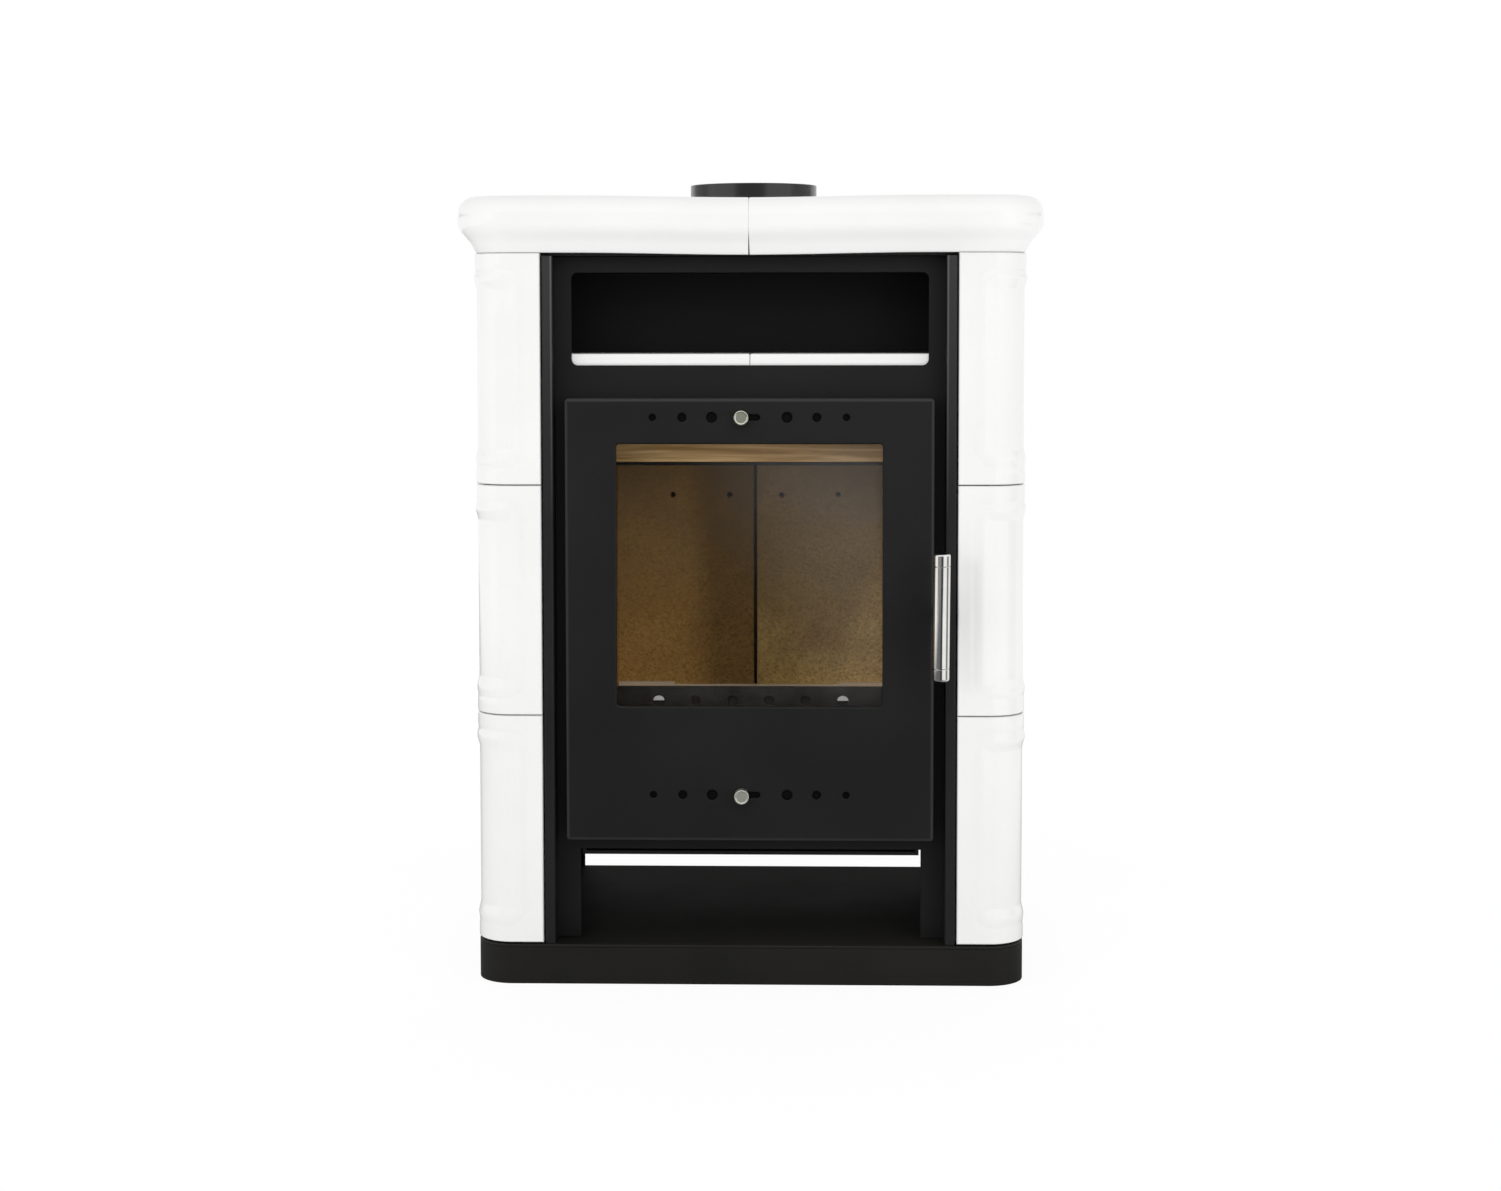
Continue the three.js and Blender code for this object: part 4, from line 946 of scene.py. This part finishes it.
low, high = corners("door_shell")
plate_back = low[1] + 0.004
flange = 0.003
bevel = 0.0034
turn_in = 0.0005
window_half = 0.1485
window_bottom = 0.315
window_top = 0.6092
rim_profile = [
    (-flange, plate_back), (-flange, high[1] - turn_in), (-flange + turn_in, high[1]),
    (-turn_in, high[1]), (0.0, high[1] - turn_in),
]
rim_profile += rolled(0.0, low[1], 1, bevel, 8)[::-1]
window_rounding = ((0.0, 0.0016), (0.0004, 0.0009), (0.0012, 0.0002), (0.0020, 0.0))
hole_rounding = ((0.0, 0.0008), (0.0003, 0.0003), (0.0008, 0.0))
window_profile = [(0.0, plate_back), *((move, low[1] + depth) for move, depth in window_rounding)]
hole_profile = [(0.0, plate_back), *((move, low[1] + depth) for move, depth in hole_rounding)]
air_rows = (0.215, 0.639)
# Distance of each air hole from the middle, and its radius.
air_holes = ((0.042, 0.006), (0.075, 0.005), (0.108, 0.004))
slot_half = 0.012
slot_radius = 0.0035
hinge_rows = np.array([0.575, 0.235])
notch_half = 0.016
# Two points at each end of a notch, this far to either side of it, keep its ends square.
notch_step = 0.00005
notch_ends = [z + end * notch_half + step for z in hinge_rows for end in (1, -1)
              for step in (notch_step, -notch_step)]


def notched(points):
    """The hinge side's flange is cut back to the plate over each hinge, so that the brackets can
    stand in it: depths there are at most that of the plate's back."""
    centre_shade_factor = (np.abs(points[:, 1:2] - hinge_rows) < notch_half).any(1)
    over = centre_shade_factor & (points[:, 0] < low[0] + flange + 0.0002)
    points[over, 2] = np.minimum(points[over, 2], plate_back + 0.0002)
    return points


def into_left_side(outline, points):
    """A rounded rectangle's outline with more points, from the top down, put into its left side:
    that side runs from the third quarter of the outline to the last."""
    start = len(outline) * 3 // 4
    return np.vstack([outline[:start], points, outline[start:]])


door_corner = 0.0035
window_corner = 0.003
outline = rounded(low[0], high[0], low[2], high[2], door_corner, 6)
outline = into_left_side(outline, [(low[0], z) for z in notch_ends])
window = rounded(-window_half, window_half, window_bottom, window_top, window_corner, 6)
rims = [(outline, rim_profile), (window, window_profile)]
for row in air_rows:
    # Its corners are a hair smaller than half its height, so that its ends keep a short edge.
    slot = rounded(-slot_half, slot_half, row - slot_radius, row + slot_radius, slot_radius - 0.00001)
    rims.append((slot, hole_profile))
    rims += [(ring_of(sign * x, row, radius), hole_profile) for x, radius in air_holes for sign in (-1, 1)]
door_paint = door_finish(low, high)
plate("door_front", rims, "door", door_paint, ["door_shell"], notched)

seat_front = high[1] - 0.006
seat_back = high[1] - 0.003
seat_left = -mouth_half - 0.018
seat_corner = 0.001
own, hole = cut_edge(seat_back, seat_front)
seat = rounded(seat_left, high[0] - flange, low[2] + flange, high[2] - flange, seat_corner, 3)
rims = [(seat, own), (mouth_outline, hole)]
plate("door_inner_frame", rims, "door", black_paint)


def rope():
    """Glass-fibre rope: grey strands twisted on a slant, with a fuzzy dull surface."""
    material, tree, surface, place = bare_finish("rope_seal", Roughness=0.95)
    slanted = node(tree, "Mapping", Vector=place, Rotation=(0.0, 0.8, 0.0)).outputs["Vector"]
    strands = node(tree, "TexWave", Vector=slanted, Scale=130.0, Distortion=1.5, Detail=2.0).outputs["Fac"]
    tone = tint(tree, strands, (0.0, (0.05, 0.05, 0.047)), (1.0, (0.2, 0.195, 0.18)))
    link(tree, surface, Base_Color=tone)
    relief(tree, surface, (strands, 0.0008, 0.6))
    return material


rope_seal = rope()
dress(["door_gasket", "glass_gasket"], rope_seal)

# ---- Window glass
# One pane of clear ceramic glass, faintly brown, clamped from behind by two spring strips.


def ceramic_glass():
    """Ceramic glass seen through as a dark tint, with a polished face, a faint uneven haze, and a paler
    bloom towards the upper right that is a painted reflection."""
    material, tree, surface, place = bare_finish("stove_glass", IOR=1.5)
    haze = noise(tree, place, 6.0, 5.0)
    x, _, z = node(tree, "SeparateXYZ", Vector=place).outputs
    slant = reckon(tree, "MULTIPLY_ADD", x, 2.0, z)
    ragged = reckon(tree, "MULTIPLY_ADD", haze, 0.2, slant)
    # Painted reflection: a paler grey towards the upper right.
    painted_reflection = spread(tree, ragged, 0.0, 1.0, 0.52, 0.87)
    tone = tint(tree, painted_reflection, (0.0, (0.012, 0.009, 0.006)), (1.0, (0.19, 0.185, 0.185)))
    link(tree, surface, Base_Color=tone, Alpha=spread(tree, haze, 0.08, 0.12))
    link(tree, surface, Roughness=spread(tree, haze, 0.03, 0.06))
    return material


glass = ceramic_glass()
low, high = corners("glass_pane")
pane_corner = 0.002
pane_burr = 0.0005
pane = rounded(low[0], high[0], low[2], high[2], pane_corner, 4)
rims = [(pane, cut_edge(high[1], low[1], pane_burr)[0])]
plate("window_pane", rims, "door", glass, ["glass_pane"])
dress(["glass_retainer_left", "glass_retainer_right"], bare_steel)

# ---- Air slides
# A perforated strip slides behind each row of holes and opens or shuts them. Its turned knob has
# a stem through the slot, and a pressed guide on the back of the door holds the strip.


def polished(name, lines, shine, dull, dark=(0.74, 0.735, 0.715), light=(0.82, 0.815, 0.795)):
    """Polished steel: bright, with very fine lines left by the lathe or the belt, and a tone that
    clouds between two colours."""
    material, tree, surface, place = bare_finish(name, Metallic=1.0)
    marks = lined(tree, place, lines, 3.0)
    cloud = noise(tree, place, 30.0, 3.0)
    tone = tint(tree, cloud, (0.3, dark), (0.7, light))
    link(tree, surface, Base_Color=tone, Roughness=spread(tree, marks, shine, dull))
    relief(tree, surface, (marks, 0.00002, 0.3))
    return material


# How far a slide moves: at rest its holes stand this far to the left of the door's.
travel = 0.0175
strip_corner = 0.002
# Near black, darker than the stove's paint: the strip's own dark tone together with painted shade for the
# dim space behind the door's holes.
slide_dark_and_shade = heat_paint("slide_dark_and_shade", (0.0015, 0.0015, 0.0015), (0.0030, 0.0030, 0.0030), 0.7, 0.6, 0.15)
knob_lines = (1500.0, 60.0, 1500.0)
# The lower knob's steel is a lighter copy of the upper one's: painted light for the brighter reflection
# that its face shows.
knob_steels = {
    "upper": polished("bright_knob_steel", knob_lines, 0.16, 0.22, (0.71, 0.735, 0.6), (0.77, 0.8, 0.655)),
    "lower": polished("lower_knob_lit_steel", knob_lines, 0.38, 0.48,
                      (0.86, 0.885, 0.78), (0.91, 0.935, 0.83)),
}
knob_length = 0.012
knob_stem = 0.003
knob_edge = 0.0009
back_edge = 0.0008
# The knob's face has a raised rim round a sunk disc. The rim's places are given inwards from the
# knob's edge.
disc_depth = 0.0005
disc_middle = 0.0045
rim_inside, rim_slope, rim_outside = 0.0022, 0.0017, 0.0012
rim_rounding = 0.00012
for level in ("upper", "lower"):
    name = f"{level}_air_slide"
    low, high = corners(name)
    own, hole = cut_edge(high[1], low[1])
    row = (low[2] + high[2]) / 2
    holes = [(sign * x - travel, radius) for x, radius in air_holes for sign in (1, -1)]
    # The last hole on the left lies on the strip's end, so it is a bite out of the outline there.
    x, radius = holes.pop()
    turn = np.linspace(1, -1, 13) * math.acos((low[0] - x) / radius)
    bite = np.column_stack([x + radius * np.cos(turn), row + radius * np.sin(turn)])
    strip = rounded(low[0], high[0], low[2], high[2], strip_corner, 4)
    rims = [(into_left_side(strip, bite), own)]
    rims += [(ring_of(x, row, radius), hole) for x, radius in holes]
    plate(f"{level}_slide_strip", rims, name, slide_dark_and_shade, [name])
    dress([f"{level}_slide_guide"], bare_steel)

    low, high = corners(f"{level}_air_knob")
    middle = (low + high) / 2
    radius = (high[0] - low[0]) / 2
    front = low[1]
    back = front + knob_length
    profile = [(r, front + disc_depth) for r in (pole, disc_middle, radius - rim_inside)]
    profile += [(radius - rim_slope, front + rim_rounding), (radius - rim_outside, front)]
    profile += rolled(radius, front, 1, knob_edge, 5)
    profile += [(radius, back - back_edge), (radius - back_edge, back)]
    profile += [(knob_stem, back), (knob_stem, high[1])]
    turned(f"{level}_knob", profile, (middle[0], row), 1, name, knob_steels[level],
           [f"{level}_air_knob"], around=64)

# ---- Latch and handle
# A steel lever swings on a pin in the door's edge. Its hook lies behind the keeper's lip, and its
# outer end carries an upright tube of polished steel with a turned cap at each end.

dress(["latch_block", "latch_pin", "latch_keeper", "latch_lever"], bare_steel)
handle_steel = polished("handle_steel", (60.0, 60.0, 1200.0), 0.06, 0.12)
# The grip's lower end is this much higher than its solid's, and the grip leans by a slope that
# starts from the lever's top.
shortened = 0.0025
lean = (0.008, corners("latch_lever")[1][2])
tube_wall = 0.003
neck = 0.0005
low, high = corners("handle_tube")
low[2] += shortened
middle = (low + high) / 2
radius = (high[0] - low[0]) / 2
bore = radius - tube_wall
profile = [(bore, low[2]), (radius - neck, low[2]), (radius, low[2] + neck),
           (radius, high[2] - neck), (radius - neck, high[2]), (bore, high[2])]
turned("grip", profile, middle[:2], 2, "latch", handle_steel, ["handle_tube"],
       around=64, lean=lean)
cap_round = 0.0022
cap_flat = 0.001
for end in ("bottom", "top"):
    name = f"handle_cap_{end}"
    low, high = corners(name)
    length = high[2] - low[2]
    profile = [(bore, 0.0), (radius - neck, 0.0), (radius, neck)]
    profile += rolled(radius, length, -1, cap_round, 6)[::-1] + [(cap_flat, length)]
    start, way = (high[2] + shortened, -1) if end == "bottom" else (low[2], 1)
    profile = [(r, start + way * h) for r, h in profile]
    turned(f"grip_cap_{end}", profile, middle[:2], 2, "latch", handle_steel, [name],
           around=64, lean=lean)

# ---- Studio
# A white floor that keeps a faint shadow, plain soft light from in front, and white all round for
# the camera and for reflections. Grey and black cards, which only gloss sees, stand in front, at
# the sides, before the handle and behind the log niche's open back.


def stage_sheet(name, points, material):
    """A flat four-cornered sheet of the studio."""
    mesh = bpy.data.meshes.new(name)
    mesh.from_pydata(points, [], [(0, 1, 2, 3)])
    mesh.materials.append(material)
    made = bpy.data.objects.new(name, mesh)
    bpy.context.scene.collection.objects.link(made)
    return made


def plain_white(tree):
    """One where a ray comes from the camera, from gloss or through glass, and zero elsewhere."""
    ray = node(tree, "LightPath").outputs
    seen = reckon(tree, "MAXIMUM", ray["Is Camera Ray"], ray["Is Glossy Ray"])
    return reckon(tree, "MAXIMUM", seen, ray["Is Transmission Ray"])


def far_from(tree, place):
    """The distance of a place from its origin."""
    return node(tree, "VectorMath", {"operation": "LENGTH"}, in_0=place).outputs["Value"]


def white_floor():
    """A dull white floor that glows white, so that it shows no edge. Within a metre of the object a
    small share of dull white stays, which keeps the shadow. Gloss sees the floor darker inside a
    long oval that runs from front to back, a little to the left of the object."""
    material, tree, surface, place = bare_finish("studio_floor", Roughness=1.0, Specular_IOR_Level=0.0,
                                                 Base_Color=(0.95, 0.95, 0.95, 1))
    oval = node(tree, "Mapping", Vector=place, Location=(0.5, 0.0, 0.0), Scale=(0.62, 0.19, 1.0))
    dim = spread(tree, far_from(tree, oval.outputs["Vector"]), -0.85, 0.0, 0.75, 1.4, "SMOOTHSTEP")
    in_gloss = node(tree, "LightPath").outputs["Is Glossy Ray"]
    strength = reckon(tree, "MULTIPLY_ADD", in_gloss, dim, 1.0)
    glow = node(tree, "Emission", Color=white, Strength=strength).outputs[0]
    faint = node(tree, "Emission", Color=white, Strength=0.12).outputs[0]
    dull = node(tree, "AddShader", in_0=surface.outputs[0], in_1=faint).outputs[0]
    shown = node(tree, "MixShader", Fac=plain_white(tree), in_1=dull, in_2=glow).outputs[0]
    fade = spread(tree, far_from(tree, place), 0.92, 1.0, 0.45, 1.1)
    lit = node(tree, "MixShader", Fac=fade, in_1=dull, in_2=shown).outputs[0]
    tree.links.new(lit, tree.nodes["Material Output"].inputs["Surface"])
    return material


white = (1.0, 1.0, 1.0, 1)
floor_half = 12.0
floor_corners = [(x * floor_half, y * floor_half, 0) for x, y in ((-1, -1), (1, -1), (1, 1), (-1, 1))]
stage_sheet("studio_floor", floor_corners, white_floor())


def upright_card(name, start, end, foot, top, level):
    """A card of an even grey that only reflections see. It stands upright along a line in plan."""
    material, tree = bare_finish(name)[:2]
    glow = node(tree, "Emission", Color=white, Strength=level)
    tree.links.new(glow.outputs[0], tree.nodes["Material Output"].inputs["Surface"])
    points = [(*start, foot), (*end, foot), (*end, top), (*start, top)]
    card = stage_sheet(name, points, material)
    for ray in ("camera", "diffuse", "transmission", "volume_scatter", "shadow"):
        setattr(card, f"visible_{ray}", False)


lift = 0.002
card_left = -2.2
card_right = 1.5
card_front = -3.6
upright_card("front_card", (card_left, card_front), (card_right, card_front), lift, 1.7, 0.28)
upright_card("corner_card", (card_left, card_front), (-2.7, -2.1), lift, 0.8, 0.28)
upright_card("handle_card", (0.10, -0.85), (0.38, -0.85), 0.2, 0.47, 0.06)
upright_card("low_right_card", (1.9, -0.9), (1.9, 0.1), lift, 0.5, 0.25)
upright_card("high_right_card", (1.9, -0.5), (1.9, 1.6), 0.965, 1.065, 0.0)
upright_card("high_left_card", (-1.9, 0.0), (-1.9, 1.8), 0.965, 1.065, 0.0)
upright_card("opening_card", (-0.24, 0.26), (0.24, 0.26), lift, 0.16, 0.1)

world = bpy.data.worlds.new("studio")
world.use_nodes = True
tree = world.node_tree
ambient = tree.nodes["Background"]
ambient.inputs["Color"].default_value = white
ambient.inputs["Strength"].default_value = 0.84
bright = node(tree, "Background", Color=white, Strength=1.0)
sky = node(tree, "MixShader", Fac=plain_white(tree), in_1=ambient.outputs[0], in_2=bright.outputs[0])
tree.links.new(sky.outputs[0], tree.nodes["World Output"].inputs["Surface"])
bpy.context.scene.world = world


def soft_lamp(name, place, target, width, height, power):
    """A large area lamp that faces a target."""
    data = bpy.data.lights.new(name, "AREA")
    data.shape, data.size, data.size_y, data.energy = "RECTANGLE", width, height, power
    lamp = bpy.data.objects.new(name, data)
    lamp.location = place
    toward = np.array(target) - np.array(place)
    from_top = math.atan2(math.hypot(toward[0], toward[1]), -toward[2])
    lamp.rotation_euler = (from_top, 0, math.atan2(-toward[0], toward[1]))
    lamp.visible_glossy = False
    bpy.context.scene.collection.objects.link(lamp)


soft_lamp("left_soft", (-2.25, -3.0, 1.3), (0, 0, 0.45), 1.0, 1.0, 17)
soft_lamp("right_soft", (2.25, -3.0, 1.3), (0, 0, 0.45), 1.0, 1.0, 15.5)

camera_data = bpy.data.cameras.new("camera")
camera_data.sensor_width = 36.0
camera_data.lens = 58.03
camera_data.shift_y = -0.09
camera = bpy.data.objects.new("camera", camera_data)
camera.location = (0.0706, -2.8524, 0.7556)
camera.rotation_mode = "XYZ"
camera.rotation_euler = (math.radians(90 - 3.5), math.radians(0.063), math.radians(1.472))
bpy.context.scene.collection.objects.link(camera)
bpy.context.scene.camera = camera
bpy.context.scene.view_settings.view_transform = "Standard"
